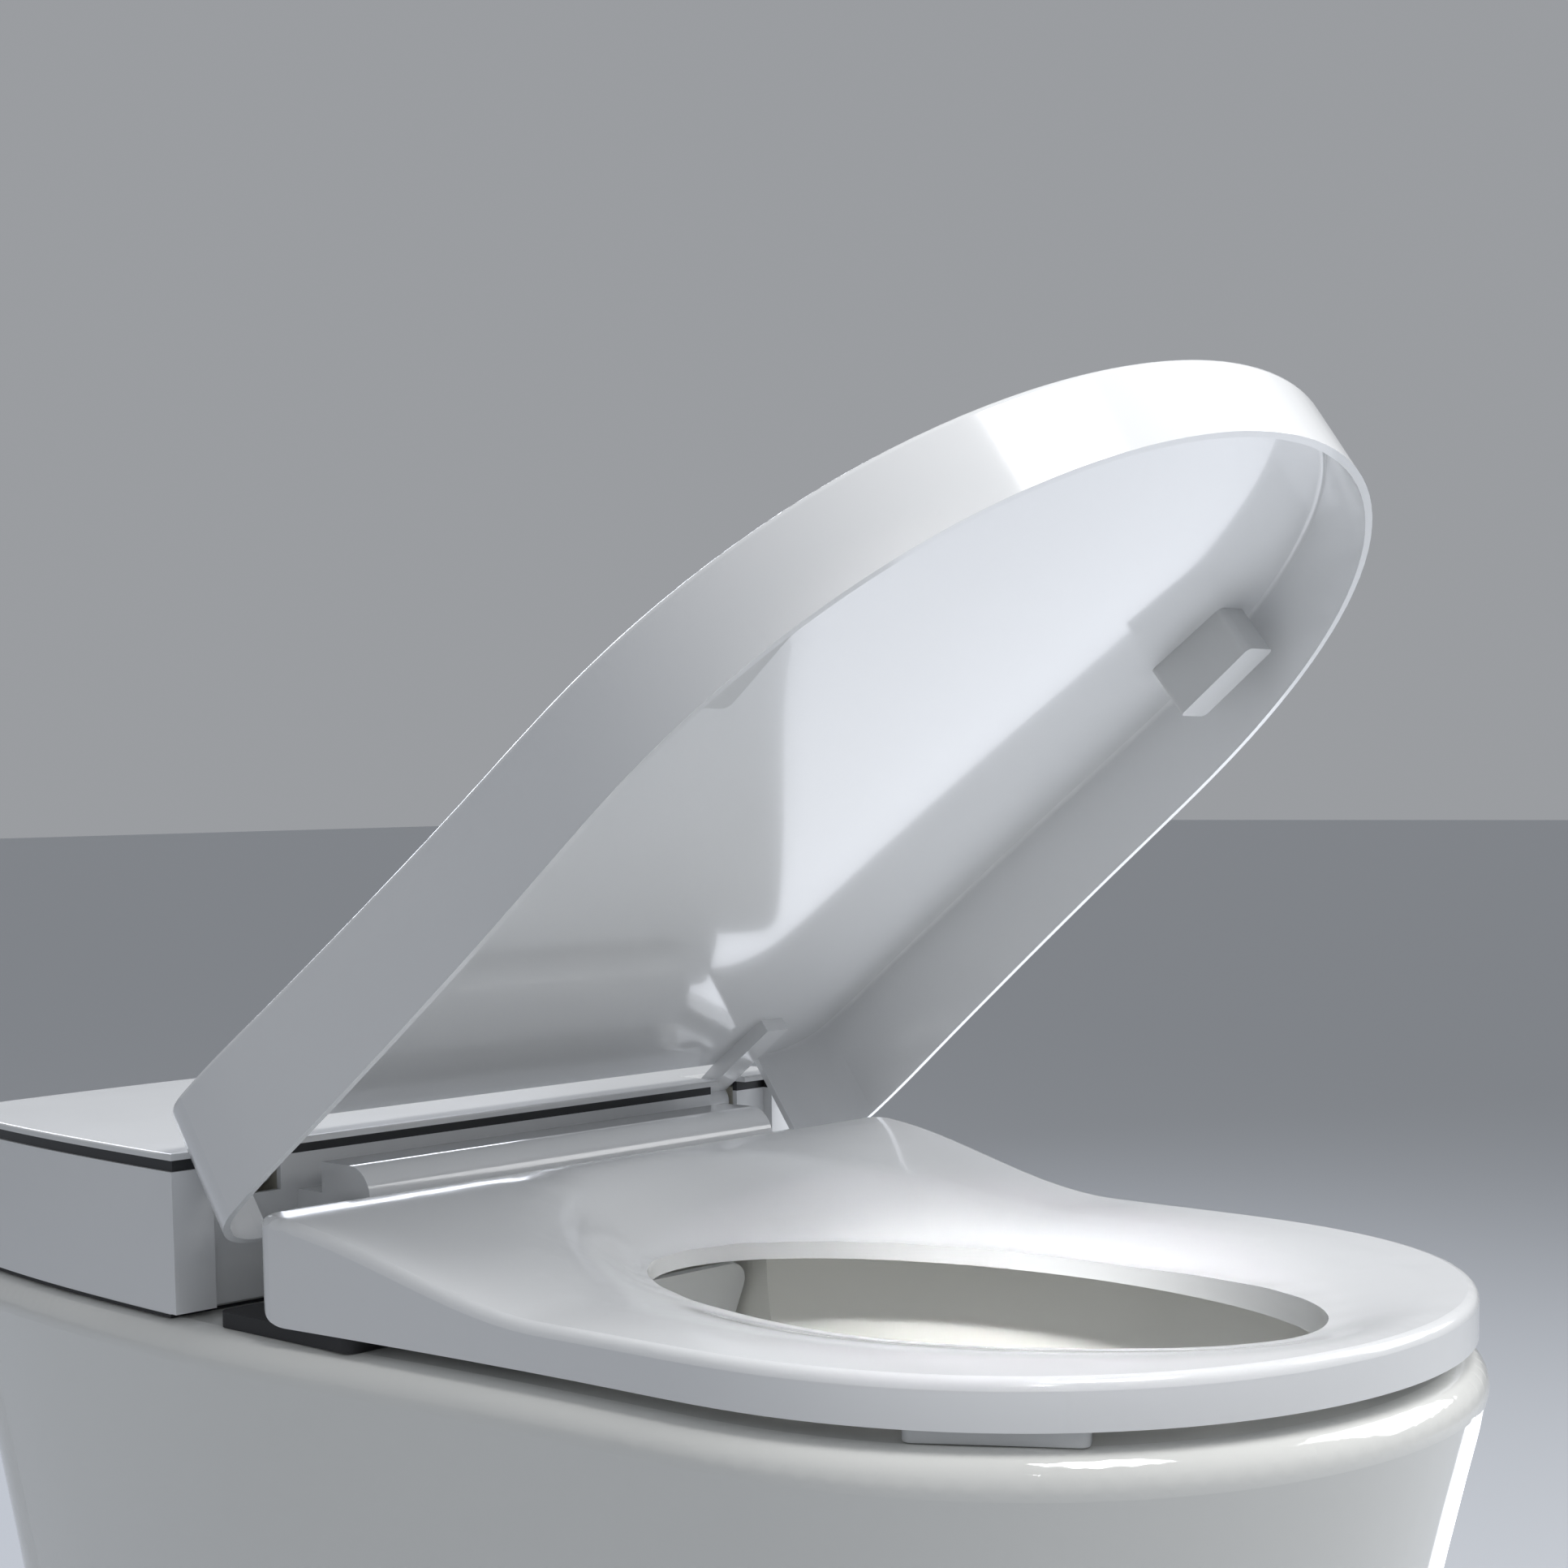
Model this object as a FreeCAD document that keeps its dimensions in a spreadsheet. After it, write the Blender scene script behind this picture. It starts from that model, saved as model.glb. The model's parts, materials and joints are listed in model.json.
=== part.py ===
import FreeCAD, Part
import math
import os
from types import SimpleNamespace

import Sketcher
from FreeCAD import Placement, Rotation, Vector

# Bidet toilet with a low rear housing, seat ring and lid, in millimetres.
# The front faces -Y, +X is the sitter's left side, +Z is up and the floor is at zero.
# The origin is on the floor, in the middle of the outline.

SIZES = {
    # overall layout, front to back
    "seat_length": 430,
    "hinge_gap": 55,
    "housing_depth": 246,
    "rim_overhang": 4,
    "rim_height": 400,
    # plan shape shared by ceramic, housing, seat and lid
    "rear_half_width": 203,
    "mid_half_width": 190,
    "mid_distance": 215,
    "rear_narrowing": 26,
    "rear_corner": 60,
    "rear_crown": 13,
    # ceramic bowl
    "ceramic_grow": 5,
    "ceramic_wall": 12,
    "ceramic_deck": 22,
    "ceramic_edge_radius": 13,
    "waist_inset": 38,
    "foot_inset": 62,
    "basin_half_width": 128,
    "basin_half_length": 205,
    "basin_centre": 195,
    "basin_depth": 240,
    "basin_wall": 10,
    "basin_edge_radius": 7,
    "trap_radius": 34,
    "trap_wall": 8,
    "trap_bend": 48,
    "outlet_setback": 285,
    "seal_height": 20,
    "seal_wall": 12,
    "service_door_width": 210,
    "service_door_height": 230,
    "service_door_sill": 30,
    # floor fixings
    "bracket_length": 56,
    "bracket_width": 40,
    "bracket_thickness": 4,
    "bracket_height": 50,
    "bracket_setback": 60,
    "bracket_clearance": 1,
    "bracket_hole_radius": 4.5,
    "skirt_screw_radius": 3,
    "skirt_screw_height": 32,
    "skirt_screw_clearance": 0.4,
    "cap_radius": 9,
    "cap_thickness": 2.5,
    "cap_seat_depth": 3.5,
    # seat
    "buffer_height": 7,
    "seat_front_height": 19,
    "seat_rear_height": 46,
    "seat_ramp": 165,
    "seat_wall": 3,
    "seat_corner": 12,
    "seat_edge_radius": 4.5,
    "seat_heel_radius": 20,
    "seat_base_thickness": 2.5,
    "opening_half_width": 93,
    "opening_start": 56,
    "opening_end": 385,
    "opening_front_height": 13,
    "opening_side_height": 8,
    "dish_side_margin": 20,
    "dish_front_margin": 8,
    "dish_rear_margin": 12,
    "heater_thickness": 0.6,
    "heater_margin": 16,
    "buffer_length": 66,
    "buffer_width": 13,
    "buffer_distance": 346,
    "buffer_inset": 18,
    "buffer_corner": 4,
    "rest_length": 91,
    "rest_width": 26,
    "rest_setback": 34,
    "rest_half_spread": 183,
    "rest_radius": 6,
    "seat_axis_setback": 22,
    "seat_axis_height": 30,
    "seat_lug_width": 26,
    "seat_lug_inner": 134,
    "seat_lug_radius": 11,
    "seat_pin_radius": 4,
    "seat_pin_length": 46,
    # lid
    "lid_grow": 5.5,
    "lid_wall": 3.2,
    "lid_plate": 3.5,
    "lid_overhang": 34,
    "lid_rear_edge": 50,
    "lid_corner": 30,
    "lid_rim_height": 5,
    "lid_rear_height": 65.5,
    "lid_front_height": 40,
    "lid_edge_radius": 2.5,
    "lid_inner_radius": 2,
    "lid_fall_room": 5,
    "lid_axis_setback": 73,
    "lid_axis_height": 53,
    "lid_rest_angle": 38.5,
    "lid_arm_width": 16,
    "lid_arm_centre": 150,
    "lid_arm_length": 66,
    "lid_arm_depth": 7,
    "lid_eye_radius": 8,
    "lid_pin_radius": 4,
    "lid_buffer_length": 46,
    "lid_buffer_width": 20,
    "lid_buffer_corner": 3,
    "lid_buffer_spread": 158,
    "lid_buffer_distance": 309,
    # housing
    "housing_height": 66.5,
    "housing_foot_gap": 3,
    "housing_wall": 3,
    "niche_half_width": 181,
    "niche_depth": 6,
    "cover_thickness": 3,
    "cover_edge_radius": 1.0,
    "trim_height": 5,
    "trim_inset": 1.5,
    "arm_slot_clearance": 2,
    "gasket_thickness": 1.5,
    "gasket_width": 14,
    "base_thickness": 2.5,
    "mount_plate_length": 176,
    "mount_plate_width": 24,
    "mount_plate_thickness": 2,
    "mount_bolt_radius": 4,
    "mount_bolt_length": 62,
    "mount_bolt_spread": 155,
    "mount_bolt_setback": 101,
    "bolt_head_radius": 7,
    "bolt_head_height": 4.5,
    "bush_radius": 9,
    "bush_length": 30,
    "nut_radius": 8,
    "nut_height": 8,
    # hinge bar and its cartridges
    "hinge_bar_half_width": 131,
    "hinge_bar_front": 9,
    "hinge_bar_top": 56,
    "hinge_bar_bottom": 17,
    "hinge_bar_radius": 14,
    "bar_recess_length": 18,
    "bar_recess_depth": 14,
    "damper_radius": 10,
    "damper_inner": 30,
    "lid_damper_radius": 8.5,
    "lid_damper_length": 43,
    "cheek_thickness": 5,
    "cheek_gap": 3,
    "cheek_length": 22,
    "cheek_top_margin": 7,
    "lid_socket_depth": 8,
    "lid_pin_end": 2,
    # wash nozzles and their guide
    "nozzle_slope": 22,
    "nozzle_radius": 6,
    "nozzle_length": 212,
    "nozzle_half_spread": 15,
    "nozzle_tip_reach": 20,
    "nozzle_tip_drop": 22,
    "spray_hole_radius": 1.2,
    "spray_hole_reach": 7,
    "nozzle_bore_radius": 3,
    "nozzle_wall_end": 16,
    "guard_hole_clearance": 0.6,
    "guide_half_width": 31,
    "guide_half_height": 10,
    "guide_length": 152,
    "guide_foot_length": 10,
    "guide_foot_width": 40,
    "guide_foot_setback": 119,
    "guard_half_width": 75,
    "guard_above": 20,
    "guard_below": 24,
    "guard_thickness": 2.5,
    "guard_corner": 15,
    "recess_clearance": 4,
    "recess_rear": 14,
    "channel_length": 92,
    "channel_clearance": 4,
    "pinion_radius": 7,
    "pinion_width": 8,
    "pinion_setback": 116,
    "pinion_clearance": 0.35,
    "pinion_pocket": 0.6,
    "stepper_radius": 11,
    "stepper_length": 16,
    "stepper_shaft_radius": 1.5,
    # water units inside the housing
    "heater_tank_length": 108,
    "heater_tank_width": 64,
    "heater_tank_height": 44,
    "heater_tank_radius": 8,
    "heater_tank_centre": 146,
    "heater_tank_setback": 143,
    "pump_radius": 15,
    "pump_length": 44,
    "pump_head_radius": 18,
    "pump_head_length": 16,
    "pump_setback": 221,
    "pump_inner": 44,
    "valve_length": 50,
    "valve_width": 34,
    "valve_height": 26,
    "valve_centre": 138,
    "valve_setback": 235,
    "valve_coil_radius": 9,
    "valve_coil_height": 18,
    "inlet_thread_radius": 10.5,
    "inlet_bore_radius": 5,
    "inlet_length": 32,
    "inlet_neck_radius": 9,
    "inlet_neck_length": 2,
    "inlet_hole_clearance": 2,
    "tube_radius": 4,
    "tube_bend": 9,
    "flush_valve_radius": 26,
    "flush_valve_height": 100,
    "flush_valve_setback": 238,
    "flush_port_length": 12,
    "flush_pipe_radius": 15,
    "flush_pipe_wall": 2.5,
    "flush_pipe_drop": 90,
    "flush_boss_length": 40,
    "flush_boss_wall": 8,
    # dryer
    "fan_radius": 30,
    "fan_height": 26,
    "fan_wall": 2,
    "fan_clearance": 3,
    "fan_hub_radius": 9,
    "fan_shaft_radius": 2,
    "fan_inlet_radius": 16,
    "fan_blade_thickness": 1.2,
    "fan_centre": 88,
    "fan_setback": 144,
    "fan_motor_radius": 11,
    "fan_motor_height": 6,
    "fan_plate_thickness": 1.5,
    "fan_blade_height": 10,
    "fan_hub_height": 12,
    "fan_blade_start": 14,
    "duct_width": 28,
    "duct_height": 16,
    "duct_wall": 1.5,
    "duct_front": 58,
    # electrics
    "board_length": 100,
    "board_width": 70,
    "board_thickness": 1.6,
    "board_centre": 22,
    "board_setback": 239,
    "standoff_radius": 3,
    "standoff_height": 8,
    "standoff_margin": 6,
    "supply_length": 76,
    "supply_width": 50,
    "supply_height": 30,
    "supply_corner": 4,
    "supply_centre": 137,
    "supply_setback": 225,
    "gland_radius": 9,
    "gland_bore_radius": 4,
    "gland_length": 16,
    "gland_flange": 3,
    "gland_height": 26,
    # side controls and filter, on the sitter's left
    "filter_length": 60,
    "filter_width": 42,
    "filter_height": 32,
    "filter_setback": 155,
    "filter_wall": 2,
    "filter_clearance": 0.5,
    "filter_face_drop": 0.6,
    "button_radius": 8,
    "button_proud": 1.6,
    "button_travel": 1.5,
    "button_length": 12,
    "button_pitch": 28,
    "button_setback": 91,
    "button_height": 34,
    "button_clearance": 0.4,
    "carrier_thickness": 4,
    "carrier_height": 40,
    # shared small values
    "seat_clearance": 0.3,
    "running_fit": 0.05,
    "cut_overrun": 5,
}

doc = FreeCAD.newDocument("BidetToilet")
sheet = doc.addObject("Spreadsheet::Sheet", "Sizes")
for row, (alias, number) in enumerate(SIZES.items(), start=1):
    sheet.set(f"A{row}", alias.replace("_", " "))
    sheet.set(f"B{row}", str(number))
    sheet.setAlias(f"B{row}", alias)
doc.recompute()


class Size:
    """A length together with the sheet formula that gives it."""

    def __init__(self, value, formula):
        self.value = float(value)
        self.formula = formula

    def __float__(self):
        return self.value

    def __add__(self, other):
        other = sized(other)
        return Size(self.value + other.value, f"({self.formula} + {other.formula})")

    def __sub__(self, other):
        other = sized(other)
        return Size(self.value - other.value, f"({self.formula} - {other.formula})")

    def __mul__(self, other):
        other = sized(other)
        return Size(self.value * other.value, f"({self.formula} * {other.formula})")

    def __truediv__(self, other):
        other = sized(other)
        return Size(self.value / other.value, f"({self.formula} / {other.formula})")

    def __radd__(self, other):
        return sized(other) + self

    def __rsub__(self, other):
        return sized(other) - self

    def __rmul__(self, other):
        return sized(other) * self

    def __neg__(self):
        return sized(0) - self


def sized(number):
    """Gives a plain number the same form as a size from the sheet."""
    return number if isinstance(number, Size) else Size(number, repr(float(number)))


s = SimpleNamespace(**{alias: Size(getattr(sheet, alias), f"Sizes.{alias}") for alias in SIZES})

# Places that several pieces share
total_length = s.rim_overhang + s.seat_length + s.hinge_gap + s.housing_depth
rear_y = total_length / 2
face_y = rear_y - s.housing_depth
seat_y = face_y - s.hinge_gap
housing_rear_y = rear_y - s.ceramic_grow
deck_z = s.rim_height
seat_z = deck_z + s.buffer_height
cover_z = seat_z + s.housing_height
cover_under_z = cover_z - s.cover_thickness
shell_top_z = cover_under_z - s.trim_height
shell_foot_z = deck_z + s.housing_foot_gap
base_z = deck_z + s.gasket_thickness
base_top_z = base_z + s.base_thickness
wall_y = face_y + s.niche_depth + s.housing_wall
lid_axis_y, lid_axis_z = seat_y + s.lid_axis_setback, seat_z + s.lid_axis_height
seat_axis_y, seat_axis_z = seat_y + s.seat_axis_setback, seat_z + s.seat_axis_height

pieces = []


def finish(piece, label):
    """Names a finished sub-part and keeps it for writing."""
    piece.Label = label
    pieces.append(piece)
    return piece


def bind(thing, **links):
    """Ties properties to the sheet. A double underscore in a name stands for a dot."""
    for name, size in links.items():
        thing.setExpression(name.replace("__", "."), sized(size).formula)
    return thing


def place(thing, x=0, y=0, z=0):
    return bind(thing, Placement__Base__x=x, Placement__Base__y=y, Placement__Base__z=z)


def turned(thing, axis, angle, x=0, y=0, z=0):
    """Turns a piece about an axis through its own origin, then puts it in place."""
    thing.Placement = Placement(Vector(x, y, z), Rotation(axis, float(angle)))
    return place(thing, x, y, z)


def box(name, length, width, height, x, y, z):
    made = doc.addObject("Part::Box", name)
    bind(made, Length=length, Width=width, Height=height)
    return place(made, x, y, z)


ALONG = {
    "X": Rotation(Vector(0, 1, 0), 90),
    "Y": Rotation(Vector(1, 0, 0), -90),
    "Z": Rotation(),
}


def cylinder(name, radius, height, x, y, z, along="Z"):
    """A cylinder that starts at the point and runs in the positive direction of an axis."""
    made = doc.addObject("Part::Cylinder", name)
    made.Placement = Placement(Vector(x, y, z), ALONG[along])
    bind(made, Radius=radius, Height=height)
    return place(made, x, y, z)


def cut(name, base, *tools):
    made = doc.addObject("Part::Cut", name)
    made.Base = base
    made.Tool = tools[0] if len(tools) == 1 else fuse(f"{name}Tools", *tools)
    return made


def fuse(name, *shapes):
    made = doc.addObject("Part::MultiFuse", name)
    made.Shapes = list(shapes)
    return made


def group(name, *shapes):
    """Separate like solids that share one node."""
    made = doc.addObject("Part::Compound", name)
    made.Links = list(shapes)
    return made


def feature(name, shape):
    made = doc.addObject("Part::Feature", name)
    made.Shape = shape
    return made


def new_body(name):
    return doc.addObject("PartDesign::Body", name)


def new_sketch(body, name, role="XY_Plane", lift=0):
    made = body.newObject("Sketcher::SketchObject", name)
    plane = next(item for item in body.Origin.OriginFeatures if item.Role == role)
    made.AttachmentSupport = [(plane, "")]
    made.MapMode = "FlatFace"
    bind(made, AttachmentOffset__Base__z=lift)
    return made


def tie(sketch, kind, where, size):
    """Adds a dimension to a sketch and binds it to the sheet."""
    number = sketch.addConstraint(Sketcher.Constraint(kind, *where, float(size)))
    sketch.setExpression(f"Constraints[{number}]", sized(size).formula)


def draw_polygon(sketch, corners):
    first = sketch.GeometryCount
    points = [Vector(x, y, 0) for x, y in corners]
    for start, end in zip(points, points[1:] + points[:1]):
        sketch.addGeometry(Part.LineSegment(start, end), False)
    for index in range(len(corners)):
        after = first + (index + 1) % len(corners)
        sketch.addConstraint(Sketcher.Constraint("Coincident", first + index, 2, after, 1))
    for index, (x, y) in enumerate(corners):
        tie(sketch, "DistanceX", (first + index, 1), x)
        tie(sketch, "DistanceY", (first + index, 1), y)


def draw_rectangle(sketch, width, depth, x=0, y=0):
    """A rectangle centred on a point."""
    left, right = x - width / 2, x + width / 2
    near, far = y - depth / 2, y + depth / 2
    draw_polygon(sketch, [(left, near), (right, near), (right, far), (left, far)])


def draw_circle(sketch, radius, x=0, y=0):
    number = sketch.addGeometry(Part.Circle(Vector(x, y, 0), Vector(0, 0, 1), float(radius)), False)
    tie(sketch, "Radius", (number,), radius)
    tie(sketch, "DistanceX", (number, 3), x)
    tie(sketch, "DistanceY", (number, 3), y)


def pad(body, sketch, length, midplane=False):
    made = body.newObject("PartDesign::Pad", f"{sketch.Name}Pad")
    made.Profile = sketch
    made.Midplane = midplane
    return bind(made, Length=length)


def revolve(body, sketch):
    """A full turn of a profile drawn in the XZ plane, about the Z axis."""
    made = body.newObject("PartDesign::Revolution", f"{sketch.Name}Turn")
    made.Profile = sketch
    made.ReferenceAxis = (sketch, ["V_Axis"])
    made.Angle = 360
    return made


def turned_body(name, profile, x, y, z, axis=None, angle=0):
    """A body of revolution from radius and height pairs."""
    body = new_body(name)
    sketch = new_sketch(body, f"{name}Profile", "XZ_Plane")
    draw_polygon(sketch, profile)
    revolve(body, sketch)
    if axis is None:
        return place(body, x, y, z)
    return turned(body, axis, angle, x, y, z)


def is_upright(edge):
    direction = edge.tangentAt(edge.FirstParameter)
    return abs(direction.z) > max(abs(direction.x), abs(direction.y))


def block_body(name, width, depth, height, x, y, z, radius=None):
    """A moulded block that stands on a point at the middle of its underside."""
    body = new_body(name)
    sketch = new_sketch(body, f"{name}Outline")
    draw_rectangle(sketch, width, depth)
    block = pad(body, sketch, height)
    if radius is not None:
        doc.recompute()
        upright = [
            f"Edge{number}" for number, edge in enumerate(block.Shape.Edges, start=1) if is_upright(edge)
        ]
        rounding = body.newObject("PartDesign::Fillet", f"{name}Rounding")
        rounding.Base = (block, upright)
        bind(rounding, Radius=radius)
    return place(body, x, y, z)


# Plan outline: one formula gives the half width at any distance forward of the seat's rear edge
front_power_share = 2.45
flank_power_share = 1.6
FLANK_POINTS = 7
FRONT_POINTS = 9


def half_width(distance, length):
    """Half the width at a distance forward of the seat's rear edge, for an outline of this length."""
    rear, middle, mid = float(s.rear_half_width), float(s.mid_half_width), float(s.mid_distance)
    if distance < 0:
        share = distance / float(s.housing_depth + s.hinge_gap)
        return rear - float(s.rear_narrowing) * share**2
    if distance < mid:
        return middle + (rear - middle) * (1 - distance / mid) ** flank_power_share
    share = min((distance - mid) / (length - mid), 1)
    return middle * math.sqrt(1 - share**front_power_share)


def rear_corner(width, rear, corner, crown):
    """The centre of a rounded rear corner and the point where it meets the crowned rear edge."""
    if crown == 0:
        return Vector(width - corner, rear - corner, 0), Vector(width - corner, rear, 0)
    bow = (width**2 + crown**2) / (2 * crown)
    bow_y = rear - bow
    centre = Vector(width - corner, bow_y + math.sqrt((bow - corner) ** 2 - (width - corner) ** 2), 0)
    share = bow / (bow - corner)
    return centre, Vector(centre.x * share, bow_y + (centre.y - bow_y) * share, 0)


def mirrored(point):
    return Vector(-point.x, point.y, point.z)


def outline(z, grow, rear, overhang, corner, crown=0):
    """A closed plan outline: a crowned rear edge, two rounded corners and one curve round the front."""
    grow, rear, corner, crown = float(grow), float(rear), float(corner), float(crown)
    y_seat, mid, middle = float(seat_y), float(s.mid_distance), float(s.mid_half_width)
    length = float(s.seat_length + overhang)
    width = half_width(y_seat - rear + corner, length) + grow
    centre, meet = rear_corner(width, rear, corner, crown)
    start = y_seat - centre.y
    right = []
    for step in range(FLANK_POINTS):
        distance = start + (mid - start) * step / FLANK_POINTS
        right.append(Vector(half_width(distance, length) + grow, y_seat - distance, 0))
    right[0] = Vector(width, centre.y, 0)
    for step in range(FRONT_POINTS):
        angle = math.pi / 2 * step / FRONT_POINTS
        distance = mid + (length - mid) * math.sin(angle) ** (2 / front_power_share)
        right.append(Vector((middle + grow) * math.cos(angle), y_seat - distance, 0))
    tip = Vector(0, y_seat - length, 0)
    front = Part.BSplineCurve()
    front.interpolate(right + [tip] + [mirrored(point) for point in reversed(right)])
    bulge = centre + (Vector(1, 0, 0) + (meet - centre) / corner).normalize() * corner
    right_arc = Part.Arc(meet, bulge, right[0])
    left_arc = Part.Arc(mirrored(right[0]), mirrored(bulge), mirrored(meet))
    if crown:
        rear_edge = Part.Arc(mirrored(meet), Vector(0, rear, 0), meet)
    else:
        rear_edge = Part.LineSegment(mirrored(meet), meet)
    edges = [front.toShape(), left_arc.toShape(), rear_edge.toShape(), right_arc.toShape()]
    wire = Part.Wire(edges)
    wire.translate(Vector(0, 0, z))
    return wire


def slab(wire, height):
    return Part.Face(wire).extrude(Vector(0, 0, height))


def block(x_low, x_high, y_low, y_high, z_low, z_high):
    """A plain box between two corners."""
    low = Vector(x_low, y_low, z_low)
    span = Vector(x_high, y_high, z_high) - low
    return Part.makeBox(span.x, span.y, span.z, low)


def rod(radius, start, end):
    """A straight round bar between two points."""
    start, end = Vector(*start), Vector(*end)
    return Part.makeCylinder(float(radius), (end - start).Length, start, end - start)


def side_profile(points, half_span):
    """A bar across the toilet with this outline of y and z pairs."""
    corners = [Vector(-half_span, y, z) for y, z in points]
    face = Part.Face(Part.makePolygon(corners + corners[:1]))
    return face.extrude(Vector(2 * half_span, 0, 0))


def bent_path(points, bend):
    """Straight runs through the points, joined by tangent arcs of one radius."""
    edges = []
    start = points[0]
    for before, corner, after in zip(points, points[1:], points[2:]):
        back = (before - corner).normalize()
        ahead = (after - corner).normalize()
        half_turn = (math.pi - back.getAngle(ahead)) / 2
        reach = bend * math.tan(half_turn)
        inward = (back + ahead).normalize()
        middle = corner + inward * (bend / math.cos(half_turn) - bend)
        begin, end = corner + back * reach, corner + ahead * reach
        edges.append(Part.makeLine(start, begin))
        edges.append(Part.Arc(begin, middle, end).toShape())
        start = end
    edges.append(Part.makeLine(start, points[-1]))
    return Part.Wire(edges)


def tube(points, radius, bend):
    """A solid round bar along a bent path."""
    path = bent_path(points, float(bend))
    circle = Part.makeCircle(float(radius), points[0], points[1] - points[0])
    return path.makePipeShell([Part.Wire(circle)], True, False)


over = float(s.cut_overrun)
whole_width = float(s.rear_half_width * 2)

# Ceramic bowl: outer skirt, hollow behind it, basin, trap and the deck that carries the housing
waist_share = 0.5
front_inset_share = 1.15


def skirt_inset(height):
    """How far the skirt lies inside the rim's outline at a height above the floor."""
    share = 1 - height / float(deck_z)
    waist, foot = float(s.waist_inset), float(s.foot_inset)
    return (4 * waist - foot) * share + (2 * foot - 4 * waist) * share**2


def edge_loss(slope):
    """What the rounded rim edge takes off a side that leans out with this slope."""
    return float(s.ceramic_edge_radius) * (slope + math.hypot(1, slope) - 1)


def rim_slope():
    """How fast the skirt leans out at the rim."""
    return (4 * float(s.waist_inset) - float(s.foot_inset)) / float(deck_z)


def skirt(z_low, z_high, wall):
    """The tapering body between two heights, drawn in by a wall thickness."""
    wires = []
    side_loss = edge_loss(rim_slope())
    front_loss = edge_loss(rim_slope() * front_inset_share)
    for z in (z_low, z_low + (z_high - z_low) * waist_share, z_high):
        inset = skirt_inset(z)
        overhang = float(s.rim_overhang) + front_loss - inset * front_inset_share - wall
        rear = float(rear_y) - wall
        grow = float(s.ceramic_grow) + side_loss - inset - wall
        wires.append(outline(z, grow, rear, overhang, float(s.rear_corner) - wall, s.rear_crown))
    return Part.makeLoft(wires, True, False)


# depth, width, length and centre of the basin's sections, as shares of its own sizes
basin_shares = [(0, 1, 1, 1), (0.42, 0.88, 0.87, 0.95), (0.82, 0.55, 0.5, 0.82), (1, 0.27, 0.24, 0.72)]


def basin(grow):
    """The bowl's inside, or its outside when grown by the wall."""
    sections = []
    for depth, width, length, centre in basin_shares:
        half_across = float(s.basin_half_width) * width + grow
        half_along = float(s.basin_half_length) * length + grow
        y = float(seat_y - s.basin_centre * centre)
        z = float(deck_z - (s.basin_depth + grow) * depth)
        ring = Part.Ellipse(Vector(0, y + half_along, z), Vector(half_across, y, z), Vector(0, y, z))
        sections.append(Part.Wire(ring.toShape()))
    mouth = slab(sections[0], over)
    return Part.makeLoft(sections, True, False).fuse(mouth)


nozzle_tip_y = seat_y - s.nozzle_tip_reach
nozzle_tip_z = deck_z - s.nozzle_tip_drop
nozzle_place = Placement(
    Vector(0, nozzle_tip_y, nozzle_tip_z), Rotation(Vector(1, 0, 0), float(s.nozzle_slope))
)
sump_shares = basin_shares[-1]
sump_y = seat_y - s.basin_centre * sump_shares[3]
sump_z = deck_z - s.basin_depth
outlet_y = rear_y - s.outlet_setback
flush_z = deck_z - s.flush_pipe_drop
flush_valve_y = seat_y + s.flush_valve_setback
flush_pipe_end_y = flush_valve_y - s.flush_valve_radius - s.flush_port_length


def nozzle_recess(wall):
    """The pocket for the guard and the sloping channel for the guide, or their outside."""
    wide = float(s.guard_half_width + s.recess_clearance) + wall
    pocket_floor = -float(s.guard_below + s.recess_clearance) - wall
    narrow = float(s.guide_half_width + s.channel_clearance) + wall
    channel_floor = -float(s.guide_half_height + s.channel_clearance) - wall
    top = float(s.guard_above + s.nozzle_tip_drop) + over
    front, rear = -float(s.basin_edge_radius + s.guard_below), float(s.recess_rear) + wall
    pocket_block = block(-wide, wide, front, rear, pocket_floor, top)
    channel_block = block(-narrow, narrow, front, float(s.channel_length) + wall, channel_floor, top)
    shape = pocket_block.fuse(channel_block)
    shape.Placement = nozzle_place
    return shape


def trap(radius, lead):
    """The water way from the sump over the weir and down to the floor outlet."""
    rise = float(outlet_y - sump_y)
    first = Vector(0, sump_y, sump_z) - Vector(0, 1, 1).normalize() * lead
    weir = Vector(0, outlet_y, float(sump_z) + rise)
    last = Vector(0, outlet_y, s.seal_height)
    return tube([first, weir, last], radius, s.trap_bend)


outer = skirt(0, float(deck_z), 0)
rim_edges = [
    edge for edge in outer.Edges if min(v.Z for v in edge.Vertexes) > float(deck_z - s.running_fit)
]
outer = outer.makeFillet(float(s.ceramic_edge_radius), rim_edges)
hollow = skirt(-over, float(deck_z - s.ceramic_deck), float(s.ceramic_wall))
wall = float(s.basin_wall)
boss_radius = s.flush_pipe_radius + s.flush_boss_wall
boss_end_y = seat_y + s.flush_boss_length
flush_boss = rod(boss_radius, (0, boss_end_y, flush_z), (0, seat_y - s.basin_centre, flush_z))
flush_bore = rod(
    s.flush_pipe_radius + s.seat_clearance, (0, boss_end_y + over, flush_z), (0, seat_y - s.basin_centre, flush_z)
)
kept = basin(wall).fuse([nozzle_recess(wall), trap(s.trap_radius + s.trap_wall, float(s.trap_wall)), flush_boss])
hollow = hollow.cut(kept)
door_half = float(s.service_door_width / 2)
door_sill = float(s.service_door_sill)
service_door = block(
    -door_half, door_half, float(rear_y) - 2 * float(s.ceramic_wall) - float(s.rear_crown), float(rear_y) + over,
    door_sill, door_sill + float(s.service_door_height),
)
cuts = [hollow, basin(0), nozzle_recess(0), trap(s.trap_radius, 0), flush_bore, service_door]
bolt_y = seat_y + s.mount_bolt_setback
bolt_x = s.mount_bolt_spread / 2
deck_low = float(deck_z - s.ceramic_deck) - over
deck_high = float(deck_z) + over
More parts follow.
